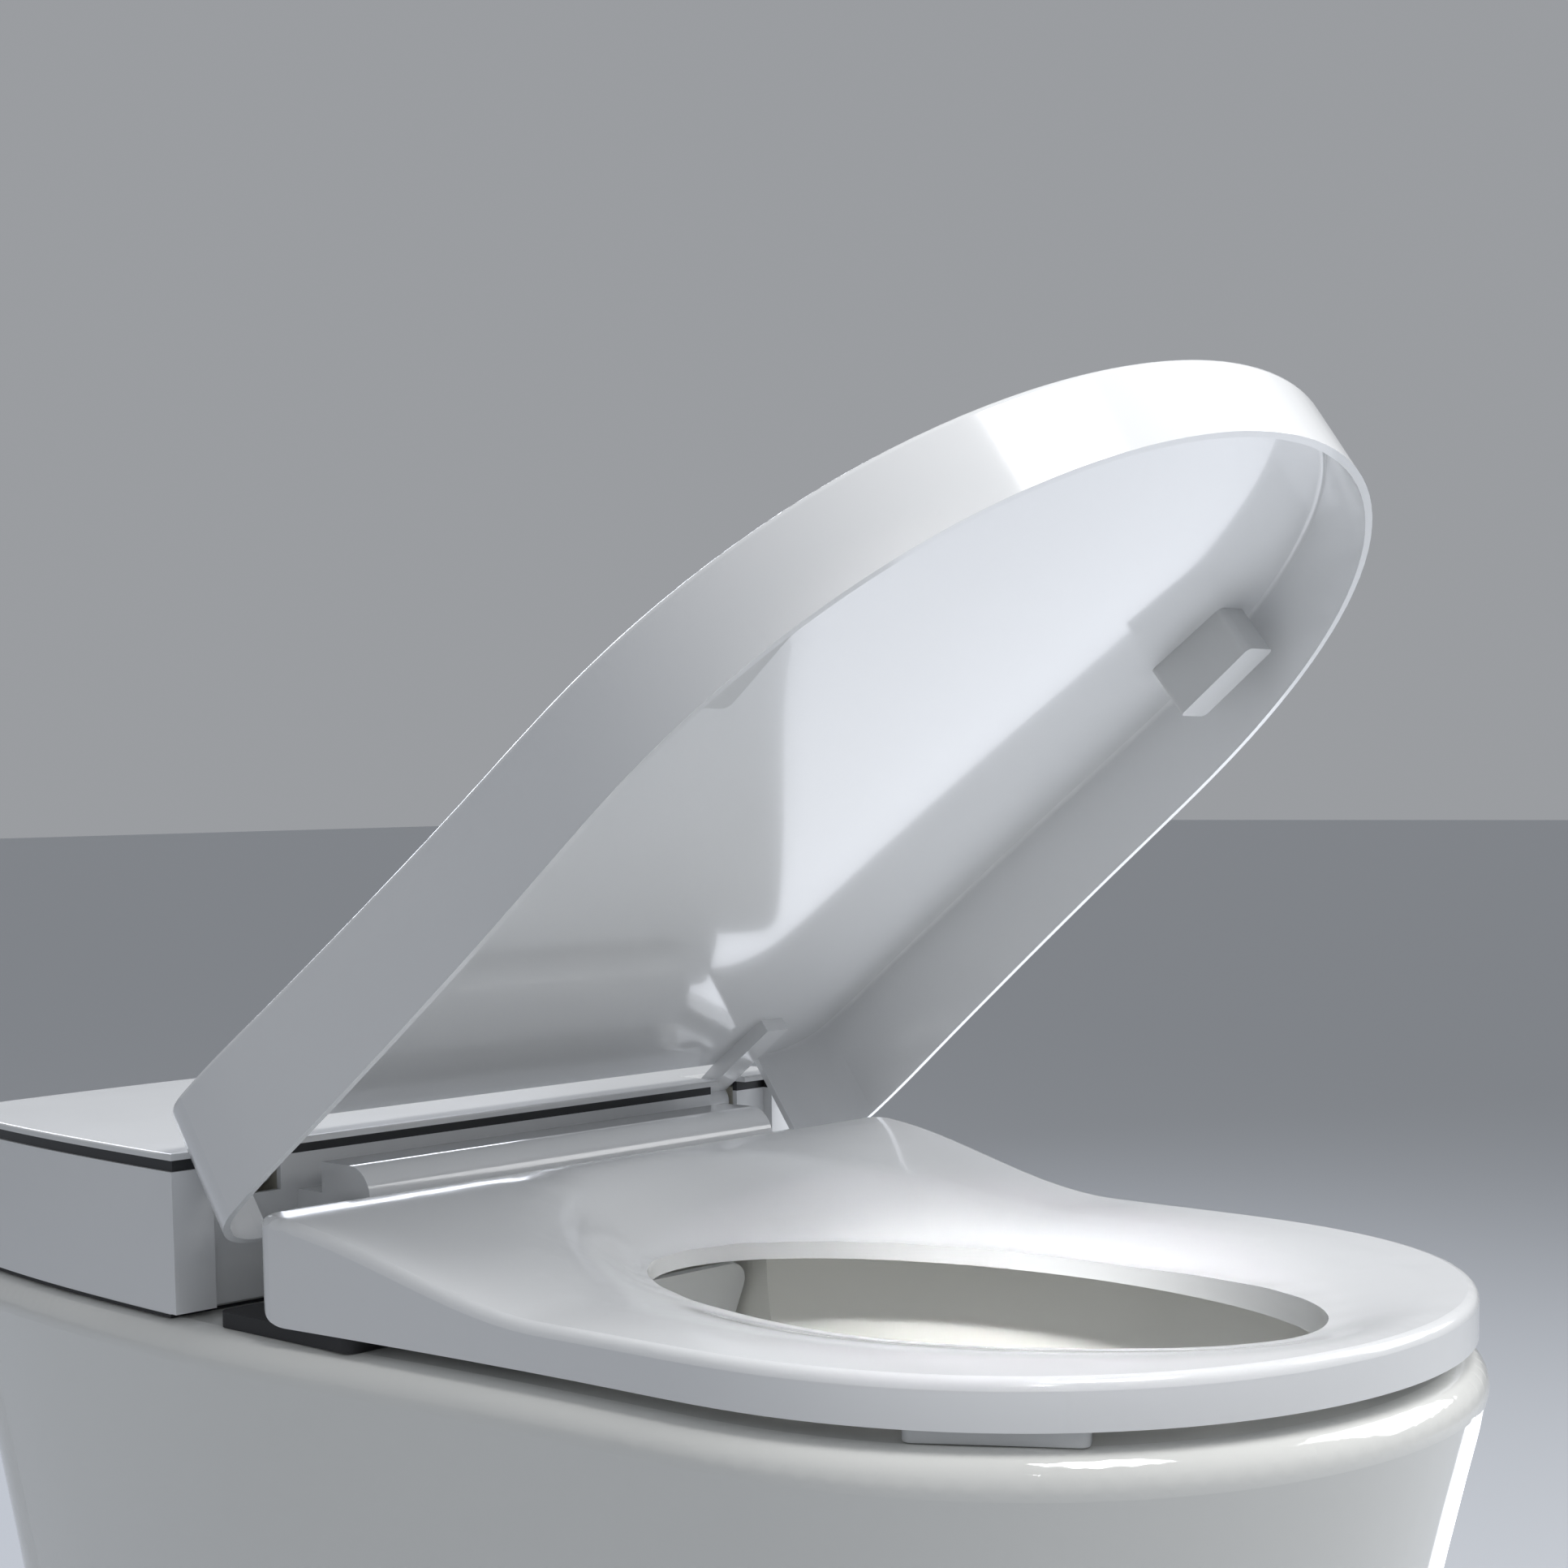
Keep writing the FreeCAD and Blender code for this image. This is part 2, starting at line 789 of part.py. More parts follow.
for side in (-1, 1):
    x = side * float(bolt_x)
    cuts.append(rod(s.bush_radius + s.seat_clearance, (x, bolt_y, deck_low), (x, bolt_y, deck_high)))
inlet_x = -s.valve_centre
inlet_y = seat_y + s.valve_setback

# the holes and cap seats of the two side screws near the floor
bracket_y = seat_y + s.bracket_setback
screw_z = s.skirt_screw_height
skirt_outer_x = half_width(-float(s.bracket_setback), float(s.seat_length)) + float(s.ceramic_grow)
skirt_outer_x += edge_loss(rim_slope()) - skirt_inset(float(screw_z))
cap_inner_x = skirt_outer_x - float(s.cap_seat_depth)
bracket_outer_x = skirt_outer_x - float(s.ceramic_wall + s.bracket_clearance)
bracket_outer_x -= skirt_inset(0) - skirt_inset(float(screw_z))
for side in (-1, 1):
    hole = s.skirt_screw_radius + s.skirt_screw_clearance
    inner_end = (side * bracket_outer_x / 2, bracket_y, screw_z)
    outer_end = (side * skirt_outer_x, bracket_y, screw_z)
    cuts.append(rod(hole, inner_end, outer_end))
    seat = s.cap_radius + s.seat_clearance
    cuts.append(rod(seat, (side * cap_inner_x, bracket_y, screw_z), (side * whole_width, bracket_y, screw_z)))
ceramic = outer
for tool in cuts:
    ceramic = ceramic.cut(tool)
finish(feature("CeramicBowl", ceramic), "ceramic_bowl")

# Outlet seal: rubber ring between the ceramic outlet and the floor
seal_body = new_body("OutletSeal")
seal_sketch = new_sketch(seal_body, "OutletSealRing")
draw_circle(seal_sketch, s.trap_radius + s.trap_wall + s.seal_wall)
draw_circle(seal_sketch, s.trap_radius)
pad(seal_body, seal_sketch, s.seal_height)
finish(place(seal_body, 0, outlet_y, 0), "outlet_seal")

# Floor brackets, the screws through the skirt and the caps over them
brackets, screws, caps = [], [], []
for side, name in ((-1, "Right"), (1, "Left")):
    foot_x = side * (bracket_outer_x - float(s.bracket_length / 2))
    upright_x = side * (bracket_outer_x - float(s.bracket_thickness / 2))
    foot = block_body(
        f"{name}BracketFoot", s.bracket_length, s.bracket_width, s.bracket_thickness, foot_x, bracket_y, 0
    )
    upright = block_body(
        f"{name}BracketUpright", s.bracket_thickness, s.bracket_width, s.bracket_height, upright_x, bracket_y, 0
    )
    floor_hole = cylinder(
        f"{name}FloorHole", s.bracket_hole_radius, s.bracket_thickness + s.cut_overrun * 2,
        foot_x, bracket_y, -s.cut_overrun,
    )
    side_hole = cylinder(
        f"{name}SideHole", s.skirt_screw_radius, s.bracket_thickness + s.cut_overrun * 2,
        upright_x - float(s.bracket_thickness / 2 + s.cut_overrun), bracket_y, screw_z, "X",
    )
    brackets.append(cut(f"{name}Bracket", fuse(f"{name}BracketAngle", foot, upright), floor_hole, side_hole))
    screw_length = cap_inner_x - bracket_outer_x + float(s.bracket_thickness)
    screw_x = bracket_outer_x - float(s.bracket_thickness) if side > 0 else -cap_inner_x
    screws.append(cylinder(f"{name}SkirtScrew", s.skirt_screw_radius, screw_length,
                           screw_x, bracket_y, screw_z, "X"))
    cap_x = cap_inner_x if side > 0 else -cap_inner_x - float(s.cap_thickness)
    caps.append(cylinder(f"{name}Cap", s.cap_radius, s.cap_thickness, cap_x, bracket_y, screw_z, "X"))
finish(group("FloorBrackets", *brackets), "floor_brackets")
finish(group("SkirtScrews", *screws), "skirt_screws")
finish(group("ScrewCaps", *caps), "screw_caps")

# Housing: everything behind the front face of the plan outline


def housing_slab(z_low, z_high, inset, front):
    """The housing's outline, drawn in and extruded between two heights, behind a front plane."""
    inset = float(inset)
    rear = float(housing_rear_y) - inset
    corner = float(s.rear_corner - s.ceramic_grow) - inset
    shape = slab(outline(z_low, -inset, rear, 0, corner, s.rear_crown), float(z_high) - float(z_low))
    return shape.common(block(-whole_width, whole_width, front, whole_width * 2, z_low, z_high))


arm_slot_half = s.lid_arm_width / 2 + s.arm_slot_clearance
arm_slot_rear_y = lid_axis_y + s.lid_eye_radius + s.arm_slot_clearance


def arm_slots(z_low, z_high, front):
    """The two slots through which the lid's arms swing."""
    slots = []
    for side in (-1, 1):
        x = side * s.lid_arm_centre
        slots.append(block(x - arm_slot_half, x + arm_slot_half, front, arm_slot_rear_y, z_low, z_high))
    return slots[0].fuse(slots[1])


def niche(z_low, z_high):
    """The shallow recess in the housing's face, where the lid and seat hinge."""
    half = float(s.niche_half_width)
    return block(-half, half, float(face_y) - over, face_y + s.niche_depth, z_low, z_high)


def housing_ring(z_low, z_high, inset):
    """A band of housing wall, open above and below."""
    shape = housing_slab(z_low, z_high, inset, face_y + inset)
    inner = housing_slab(float(z_low) - over, float(z_high) + over, inset + s.housing_wall, wall_y)
    return shape.cut(inner).cut(niche(z_low - s.cut_overrun, z_high + s.cut_overrun))


shell = housing_ring(shell_foot_z, shell_top_z, sized(0))
arm_slot_low_z = lid_axis_z - s.lid_eye_radius - s.arm_slot_clearance
shell = shell.cut(arm_slots(arm_slot_low_z, cover_z, face_y - s.cut_overrun))
guide_window_half = float(s.guide_half_width + s.channel_clearance)
guide_top_z = nozzle_tip_z + (face_y - nozzle_tip_y) * math.tan(math.radians(float(s.nozzle_slope)))
guide_window_z = guide_top_z + s.guide_half_height * 2
shell = shell.cut(block(-guide_window_half, guide_window_half, face_y - s.cut_overrun, wall_y + s.cut_overrun,
                        deck_z, guide_window_z))
duct_x = s.fan_centre + s.fan_radius - s.duct_width / 2
duct_half = s.duct_width / 2 + s.seat_clearance
duct_top_z = base_top_z + s.duct_height
shell = shell.cut(block(duct_x - duct_half, duct_x + duct_half, face_y - s.cut_overrun, wall_y + s.cut_overrun,
                        deck_z, duct_top_z + s.seat_clearance))
button_z = shell_foot_z + s.button_height
button_ys = [seat_y + s.button_setback + side * s.button_pitch / 2 for side in (-1, 1)]
button_hole = s.button_radius + s.button_clearance
for y in button_ys:
    inner_x = s.niche_half_width
    outer_x = s.rear_half_width + s.cut_overrun
    shell = shell.cut(rod(button_hole, (inner_x, y, button_z), (outer_x, y, button_z)))
filter_y = seat_y + s.filter_setback
filter_z = base_top_z + s.filter_wall + s.filter_clearance
filter_gap = s.filter_clearance
shell = shell.cut(block(s.niche_half_width, s.rear_half_width + s.cut_overrun,
                        filter_y - s.filter_width / 2 - filter_gap, filter_y + s.filter_width / 2 + filter_gap,
                        filter_z - filter_gap, filter_z + s.filter_height + filter_gap))
gland_z = shell_foot_z + s.gland_height
shell = shell.cut(rod(s.gland_radius - s.gland_flange + s.running_fit, (0, inlet_y, gland_z),
                      (0, rear_y + s.cut_overrun, gland_z)))
inlet_z = base_top_z + s.valve_height / 2
shell = shell.cut(rod(s.inlet_thread_radius + s.inlet_hole_clearance, (inlet_x, inlet_y, inlet_z),
                      (inlet_x, rear_y + s.cut_overrun, inlet_z)))
finish(feature("HousingShell", shell), "housing_shell")

trim = housing_ring(shell_top_z, cover_under_z, s.trim_inset)
trim = trim.cut(arm_slots(shell_foot_z, cover_z, face_y - s.cut_overrun))
finish(feature("TrimBand", trim), "trim_band")

cover = housing_slab(cover_under_z, cover_z, 0, face_y)
cover_edges = [
    edge for edge in cover.Edges if min(v.Z for v in edge.Vertexes) > float(cover_z - s.running_fit)
]
cover = cover.makeFillet(float(s.cover_edge_radius), cover_edges)
cover = cover.cut(arm_slots(shell_foot_z, cover_z + s.cut_overrun, face_y - s.cut_overrun))
finish(feature("TopCover", cover), "top_cover")

# Base plate, its gasket and the steel plate with bolts that holds it to the ceramic
plate_inset = s.housing_wall + s.seat_clearance
plate_front_y = wall_y + s.seat_clearance
base = housing_slab(base_z, base_top_z, plate_inset, plate_front_y)
guide_notch_y = nozzle_tip_y + (base_top_z - nozzle_tip_z + s.guide_half_height * 2) / math.tan(
    math.radians(float(s.nozzle_slope))
)
base = base.cut(block(-guide_window_half, guide_window_half, face_y, guide_notch_y, deck_z, seat_z))
for side in (-1, 1):
    x = side * bolt_x
    base = base.cut(rod(s.mount_bolt_radius + s.running_fit, (x, bolt_y, deck_low), (x, bolt_y, deck_high)))
board_y = seat_y + s.board_setback
standoff_x = s.board_length / 2 - s.standoff_margin
standoff_y = s.board_width / 2 - s.standoff_margin
for x_side in (-1, 1):
    for y_side in (-1, 1):
        x, y = s.board_centre + x_side * standoff_x, board_y + y_side * standoff_y
        base = base.fuse(rod(s.standoff_radius, (x, y, base_top_z), (x, y, base_top_z + s.standoff_height)))
finish(feature("BasePlate", base.removeSplitter()), "base_plate")

gasket = housing_slab(deck_z, base_z, plate_inset, plate_front_y)
gasket_inset = plate_inset + s.gasket_width
gasket = gasket.cut(housing_slab(deck_z, base_z, gasket_inset, plate_front_y + s.gasket_width))
gasket = gasket.cut(block(-guide_window_half, guide_window_half, face_y, guide_notch_y, deck_z, seat_z))
finish(feature("DeckGasket", gasket), "deck_gasket")

mount_plate = new_body("MountingPlate")
mount_sketch = new_sketch(mount_plate, "MountingPlateOutline")
draw_rectangle(mount_sketch, s.mount_plate_length, s.mount_plate_width)
for side in (-1, 1):
    draw_circle(mount_sketch, s.mount_bolt_radius + s.running_fit, side * bolt_x)
pad(mount_plate, mount_sketch, s.mount_plate_thickness)
finish(place(mount_plate, 0, bolt_y, base_top_z), "mounting_plate")

bolt_seat_z = base_top_z + s.mount_plate_thickness
bush_z = deck_z - s.bush_length
nut_z = bush_z - s.nut_height
bolts, bushes, nuts = [], [], []
for side, name in ((-1, "Right"), (1, "Left")):
    x = side * bolt_x
    head, shank = s.bolt_head_radius, s.mount_bolt_radius
    bolt_profile = [(0, -s.mount_bolt_length), (shank, -s.mount_bolt_length), (shank, 0), (head, 0),
                    (head, s.bolt_head_height), (0, s.bolt_head_height)]
    bolts.append(turned_body(f"{name}MountingBolt", bolt_profile, x, bolt_y, bolt_seat_z))
    for kept_list, part_name, radius, height, z in (
        (bushes, "Bush", s.bush_radius, s.bush_length, bush_z), (nuts, "Nut", s.nut_radius, s.nut_height, nut_z)
    ):
        made = new_body(f"{name}Mounting{part_name}")
        ring = new_sketch(made, f"{name}Mounting{part_name}Ring")
        draw_circle(ring, radius)
        draw_circle(ring, s.mount_bolt_radius + s.running_fit)
        pad(made, ring, height)
        kept_list.append(place(made, x, bolt_y, z))
finish(group("MountingBolts", *bolts), "mounting_bolts")
finish(group("MountingBushes", *bushes), "mounting_bushes")
finish(group("MountingNuts", *nuts), "mounting_nuts")

# Hinge bar between seat and housing, with the seat's damper and drive inside
bar_depth = face_y + s.niche_depth - seat_y - s.hinge_bar_front
bar_height = s.hinge_bar_top - s.hinge_bar_bottom
bar = new_body("HingeBar")
bar_sketch = new_sketch(bar, "HingeBarSection", "YZ_Plane")
draw_rectangle(bar_sketch, bar_depth, bar_height)
bar_pad = pad(bar, bar_sketch, s.hinge_bar_half_width * 2, midplane=True)
doc.recompute()
front_edges = [
    f"Edge{number}" for number, edge in enumerate(bar_pad.Shape.Edges, start=1)
    if max(v.Y for v in edge.Vertexes) < 0 and abs(edge.Vertexes[0].X - edge.Vertexes[1].X) > over
]
bar_round = bar.newObject("PartDesign::Fillet", "HingeBarRounding")
bar_round.Base = (bar_pad, front_edges)
bind(bar_round, Radius=s.hinge_bar_radius)
bar_y = seat_y + s.hinge_bar_front + bar_depth / 2
bar_z = seat_z + s.hinge_bar_bottom + bar_height / 2
place(bar, 0, bar_y, bar_z)
damper_bore = s.damper_radius + s.seat_clearance
bore_length = s.hinge_bar_half_width - s.damper_inner
bores = []
for name, x in (("Right", -s.hinge_bar_half_width - s.cut_overrun), ("Left", s.damper_inner)):
    bores.append(cylinder(f"{name}HingeBore", damper_bore, bore_length + s.cut_overrun,
                          x, seat_axis_y, seat_axis_z, "X"))
bar_rear_y = seat_y + s.hinge_bar_front + bar_depth
bar_recess = box(
    "HingeBarRecess", s.hinge_bar_half_width * 2 + s.cut_overrun * 2, s.bar_recess_length + s.cut_overrun,
    s.bar_recess_depth + s.cut_overrun, -s.hinge_bar_half_width - s.cut_overrun,
    bar_rear_y - s.bar_recess_length, seat_z + s.hinge_bar_top - s.bar_recess_depth,
)
finish(cut("HingeBarBored", bar, *bores, bar_recess), "hinge_bar")

# Seat damper and seat drive: cartridges with a socket for the seat's hinge pin
socket_start = s.seat_lug_inner + s.seat_lug_width - s.cheek_gap - s.seat_pin_length
for name, label, side in (("SeatDamper", "seat_damper", -1), ("SeatDrive", "seat_drive", 1)):
    length = bore_length - s.seat_clearance
    start = s.damper_inner + s.seat_clearance if side > 0 else -s.hinge_bar_half_width
    barrel = cylinder(f"{name}Barrel", s.damper_radius, length, start, seat_axis_y, seat_axis_z, "X")
    socket_x = socket_start if side > 0 else -s.hinge_bar_half_width - s.cut_overrun
    socket_length = s.hinge_bar_half_width - socket_start + s.cut_overrun
    socket = cylinder(f"{name}Socket", s.seat_pin_radius + s.running_fit, socket_length, socket_x,
                      seat_axis_y, seat_axis_z, "X")
    finish(cut(name, barrel, socket), label)

# Seat: one height formula gives the dished top, and the same formula lowered gives the inside
opening_centre = (s.opening_start + s.opening_end) / 2
opening_half_length = (s.opening_end - s.opening_start) / 2


def smooth(share):
    share = min(max(share, 0), 1)
    return share**2 * (3 - 2 * share)


def seat_height(x, distance):
    """Height of the seat's top above its underside."""
    along = distance - float(opening_centre)
    half_along = float(opening_half_length)
    front_side = along > 0
    reach = math.hypot(x / float(s.opening_half_width), along / half_along)
    crest_across = float(s.mid_half_width - s.dish_side_margin)
    if front_side:
        crest_along = float(s.seat_length - opening_centre - s.dish_front_margin)
        edge_height = float(s.opening_front_height)
    else:
        crest_along = float(opening_centre - s.dish_rear_margin)
        edge_height = float(s.opening_side_height)
    side_height = float(s.opening_side_height)
    lip = side_height + (edge_height - side_height) * smooth(along / half_along)
    crest = math.hypot(x / crest_across, along / crest_along)
    inner, outside = max(reach - 1, 0), max(1 - crest, 0)
    share = 1 if crest >= 1 else inner / (inner + outside)
    ramp = smooth((float(s.seat_ramp) - distance) / float(s.seat_ramp))
    side = float(s.seat_front_height) + float(s.seat_rear_height - s.seat_front_height) * ramp
    return lip + (side - lip) * smooth(share)


ROWS = 34
COLUMNS = 30


def under_seat_top(drop):
    """Everything below the seat's top surface, lowered by a wall thickness."""
    x_reach = whole_width / 2 + over
    near, far = -over * 2, float(s.seat_length) + over * 2
    grid = []
    for row in range(ROWS + 1):
        distance = near + (far - near) * row / ROWS
        line = []
        for column in range(COLUMNS + 1):
            x = x_reach * (2 * column / COLUMNS - 1)
            line.append(Vector(x, float(seat_y) - distance, float(seat_z) + seat_height(x, distance) - drop))
        grid.append(line)
    surface = Part.BSplineSurface()
    surface.interpolate(grid)
    return surface.toShape().extrude(Vector(0, 0, -float(s.seat_rear_height) - drop - over))


def opening(grow, z_low, height):
    """The hole in the seat, as a standing prism."""
    half_along, half_across = float(opening_half_length) + grow, float(s.opening_half_width) + grow
    y = float(seat_y - opening_centre)
    z_low = float(z_low)
    ring = Part.Ellipse(Vector(0, y + half_along, z_low), Vector(half_across, y, z_low), Vector(0, y, z_low))
    return slab(Part.Wire(ring.toShape()), float(height))


def seat_slab(z_low, height, inset, rear_inset):
    """The seat's plan outline, drawn in and extruded."""
    corner = float(s.seat_corner)
    wire = outline(float(z_low), -float(inset), float(seat_y) - float(rear_inset), -inset, corner)
    return slab(wire, float(height))


seat_block_height = s.seat_rear_height + s.cut_overrun
seat_top = seat_slab(seat_z, seat_block_height, sized(0), 0).common(under_seat_top(0))
top_edges = [edge for edge in seat_top.Edges if edge.BoundBox.ZMin > float(seat_z) + over and not is_upright(edge)]
seat_top = seat_top.makeFillet(float(s.seat_edge_radius), top_edges)
heel = float(s.seat_heel_radius)
heel_y, heel_z = float(seat_y) - heel, float(seat_z) + heel
heel_corner = block(-whole_width, whole_width, heel_y, float(seat_y) + over, float(seat_z) - over, heel_z)
heel_corner = heel_corner.cut(rod(heel, (-whole_width, heel_y, heel_z), (whole_width, heel_y, heel_z)))
seat_top = seat_top.cut(heel_corner)
lug_low, lug_high = seat_axis_z - s.seat_lug_radius, seat_axis_z + s.seat_lug_radius
for side in (-1, 1):
    lug_inner = side * float(s.seat_lug_inner)
    lug_outer = side * float(s.seat_lug_inner + s.seat_lug_width)
    low_x, high_x = min(lug_inner, lug_outer), max(lug_inner, lug_outer)
    seat_top = seat_top.fuse(block(low_x, high_x, seat_y - s.seat_wall, seat_axis_y, lug_low, lug_high))
    seat_top = seat_top.fuse(rod(
        s.seat_lug_radius, (low_x, seat_axis_y, seat_axis_z), (high_x, seat_axis_y, seat_axis_z)
    ))
pin_hole = s.seat_pin_radius + s.running_fit
opening_prism = opening(0, seat_z - s.cut_overrun, seat_block_height * 2)
cavity = seat_slab(seat_z - s.cut_overrun, seat_block_height * 2, s.seat_wall, s.seat_wall)
cavity = cavity.common(under_seat_top(float(s.seat_wall)))
cavity = cavity.cut(opening(float(s.seat_wall), seat_z - s.cut_overrun, seat_block_height * 2))
inner_heel = heel - float(s.seat_wall)
heel_fill = block(-whole_width, whole_width, heel_y, float(seat_y) + over, float(seat_z) - over * 2, heel_z)
heel_rod = rod(inner_heel, (-whole_width, heel_y, heel_z), (whole_width, heel_y, heel_z))
cavity = cavity.cut(heel_fill.cut(heel_rod))
seat_top = seat_top.cut(opening_prism).cut(cavity)
for side in (-1, 1):
    start = (side * float(s.seat_lug_inner) - side * over, seat_axis_y, seat_axis_z)
    end = (side * float(s.seat_lug_inner + s.seat_lug_width - s.cheek_gap), seat_axis_y, seat_axis_z)
    seat_top = seat_top.cut(rod(pin_hole, start, end))
finish(feature("SeatTopShell", seat_top.removeSplitter()), "seat_top_shell")

base_inset = s.seat_wall + s.seat_clearance
seat_base = seat_slab(seat_z, s.seat_base_thickness, base_inset, s.seat_heel_radius)
seat_base = seat_base.cut(opening(float(base_inset), seat_z - s.cut_overrun, seat_block_height))
finish(feature("SeatBase", seat_base), "seat_base")

foil_gap = float(s.seat_clearance)
foil = seat_slab(seat_z, seat_block_height, s.heater_margin, s.heater_margin + s.seat_heel_radius)
foil = foil.common(under_seat_top(float(s.seat_wall) + foil_gap))
foil = foil.cut(under_seat_top(float(s.seat_wall + s.heater_thickness) + foil_gap))
foil = foil.cut(opening(float(s.heater_margin), seat_z - s.cut_overrun, seat_block_height * 2))
finish(feature("SeatHeater", foil), "seat_heater")

# Rubber buffers under the front of the seat and the fixed blocks under its rear
buffer_distance = float(s.buffer_distance)
slope_step = float(s.buffer_width)
near_width = half_width(buffer_distance - slope_step, float(s.seat_length))
far_width = half_width(buffer_distance + slope_step, float(s.seat_length))
buffer_turn = math.degrees(math.atan2(near_width - far_width, 2 * slope_step))
buffer_x = half_width(buffer_distance, float(s.seat_length)) - float(s.buffer_inset)
buffers, rests = [], []
for side, name in ((-1, "Right"), (1, "Left")):
    made = block_body(f"{name}Buffer", s.buffer_width, s.buffer_length, s.buffer_height - s.seat_clearance, 0, 0, 0,
                      s.buffer_corner)
    turned(made, Vector(0, 0, 1), -side * buffer_turn, side * buffer_x, seat_y - s.buffer_distance,
           deck_z + s.seat_clearance)
    buffers.append(made)
    rests.append(block_body(
        f"{name}Rest", s.rest_width, s.rest_length, s.buffer_height - s.seat_clearance, side * s.rest_half_spread,
        seat_y + s.rest_setback - s.rest_length / 2, deck_z, s.rest_radius,
    ))
finish(group("SeatBuffers", *buffers), "seat_buffers")
finish(group("SeatRests", *rests), "seat_rests")

pins = []
for side, name in ((-1, "Right"), (1, "Left")):
    outer_x = s.seat_lug_inner + s.seat_lug_width - s.cheek_gap
    start = outer_x - s.seat_pin_length + s.seat_clearance if side > 0 else -outer_x
    pins.append(cylinder(f"{name}SeatPin", s.seat_pin_radius, s.seat_pin_length - s.seat_clearance, start,
                         seat_axis_y, seat_axis_z, "X"))
finish(group("SeatPins", *pins), "seat_pins")

# Lid, drawn shut and then swung to the angle at which it rests
lid_rear_y = seat_y + s.lid_rear_edge
lid_tip_y = seat_y - s.seat_length - s.lid_overhang
lid_run = lid_rear_y - lid_tip_y
lid_fall = s.lid_rear_height - s.lid_front_height
lid_rest = Placement(
    Vector(), Rotation(Vector(-1, 0, 0), float(s.lid_rest_angle)), Vector(0, lid_axis_y, lid_axis_z)
)


lid_fall_angle = math.degrees(math.atan2(float(lid_fall), float(lid_run)))
lid_tilt = Placement(
    Vector(), Rotation(Vector(1, 0, 0), lid_fall_angle), Vector(0, lid_rear_y, seat_z + s.lid_rear_height)
)


def lid_plane_z(y, drop):
    """Height of the lid's flat top at a place along it, lowered by a thickness."""
    return float(seat_z + s.lid_rear_height) - float(lid_fall) * (float(lid_rear_y) - y) / float(lid_run) - drop


def under_lid_top(drop, z_low):
    front, rear = float(lid_tip_y) - over * 2, float(lid_rear_y) + over * 2
    points = [(front, z_low), (rear, z_low), (rear, lid_plane_z(rear, drop)), (front, lid_plane_z(front, drop))]
    return side_profile(points, whole_width)


def lid_slab(drop, inset, rounding):
    """The lid's outline, drawn in, extruded square to its sloping top and rounded along the top edge."""
    low, high = float(seat_z - s.lid_fall_room), float(seat_z + s.lid_rear_height - drop)
    wire = outline(low, float(s.lid_grow - inset), lid_rear_y - inset, s.lid_overhang - inset, s.lid_corner - inset)
    shape = slab(wire, high - low)
    top_edges = [edge for edge in shape.Edges if min(v.Z for v in edge.Vertexes) > high - float(s.running_fit)]
    shape = shape.makeFillet(float(rounding), top_edges)
    shape.Placement = lid_tilt.multiply(shape.Placement)
    return shape


def swing(name, label, *shapes):
    made = group(name, *shapes)
    made.Placement = lid_rest
    return finish(made, label)


lid_rim_z = float(seat_z + s.lid_rim_height)
lid = lid_slab(sized(0), sized(0), s.lid_edge_radius)
lid = lid.common(block(
    -whole_width, whole_width, lid_tip_y - whole_width, cover_z, lid_rim_z, float(cover_z) + over
))
lid_cavity = lid_slab(s.lid_plate, s.lid_wall, s.lid_inner_radius)
lid_mouth_half = float(s.rear_half_width - s.lid_corner)
lid_mouth = block(-lid_mouth_half, lid_mouth_half, float(lid_rear_y) - float(s.lid_corner), float(lid_rear_y) + over,
                  lid_rim_z - over, float(cover_z)).common(under_lid_top(float(s.lid_plate), lid_rim_z - over))
lid = lid.cut(lid_cavity).cut(lid_mouth)
swing("LidShell", "lid_shell", feature("LidMoulding", lid))

# Lid arms: each runs along the underside of the lid to an eye on the hinge pin
arms = []
for side, name in ((-1, "Right"), (1, "Left")):
    front = lid_axis_y - s.lid_arm_length
    rear = float(lid_rear_y)
    plate = float(s.lid_plate)
    eye_top = lid_axis_z + s.lid_eye_radius
    points = [(front, lid_plane_z(float(front), plate)), (rear, lid_plane_z(rear, plate)),
              (lid_axis_y, eye_top), (lid_axis_y, eye_top - s.lid_arm_depth),
              (front, lid_plane_z(float(front), plate) - float(s.lid_arm_depth))]
    half = float(s.lid_arm_width / 2)
    arm = side_profile([(float(y), float(z)) for y, z in points], half)
    arm = arm.fuse(rod(s.lid_eye_radius, (-half, lid_axis_y, lid_axis_z), (half, lid_axis_y, lid_axis_z)))
    hole = s.lid_pin_radius + s.running_fit
    arm = arm.cut(rod(hole, (-half - over, lid_axis_y, lid_axis_z), (half + over, lid_axis_y, lid_axis_z)))
    arm.translate(Vector(side * s.lid_arm_centre, 0, 0))
    arms.append(feature(f"{name}LidArm", arm.removeSplitter()))
swing("LidArms", "lid_arms", *arms)

# Lid buffers: rubber blocks in the lid's crease that come down on the seat
lid_buffers = []
for side, name in ((-1, "Right"), (1, "Left")):
    x, y = float(s.lid_buffer_spread), float(seat_y - s.lid_buffer_distance)
    length, width = float(s.lid_buffer_length), float(s.lid_buffer_width)
    rise = max(
        seat_height(x + across * width / 2, float(s.lid_buffer_distance) + along * length / 2)
        for across in (-1, 0, 1) for along in (-1, 0, 1)
    )
    low = float(seat_z) + rise + float(s.seat_clearance)
    rubber = block(
        side * x - width / 2, side * x + width / 2, y - length / 2, y + length / 2, low, float(cover_z)
    )
    rubber = rubber.common(under_lid_top(float(s.lid_plate), lid_rim_z))
    upright = [edge for edge in rubber.Edges if is_upright(edge)]
    lid_buffers.append(feature(f"{name}LidBuffer", rubber.makeFillet(float(s.lid_buffer_corner), upright)))
swing("LidBuffers", "lid_buffers", *lid_buffers)

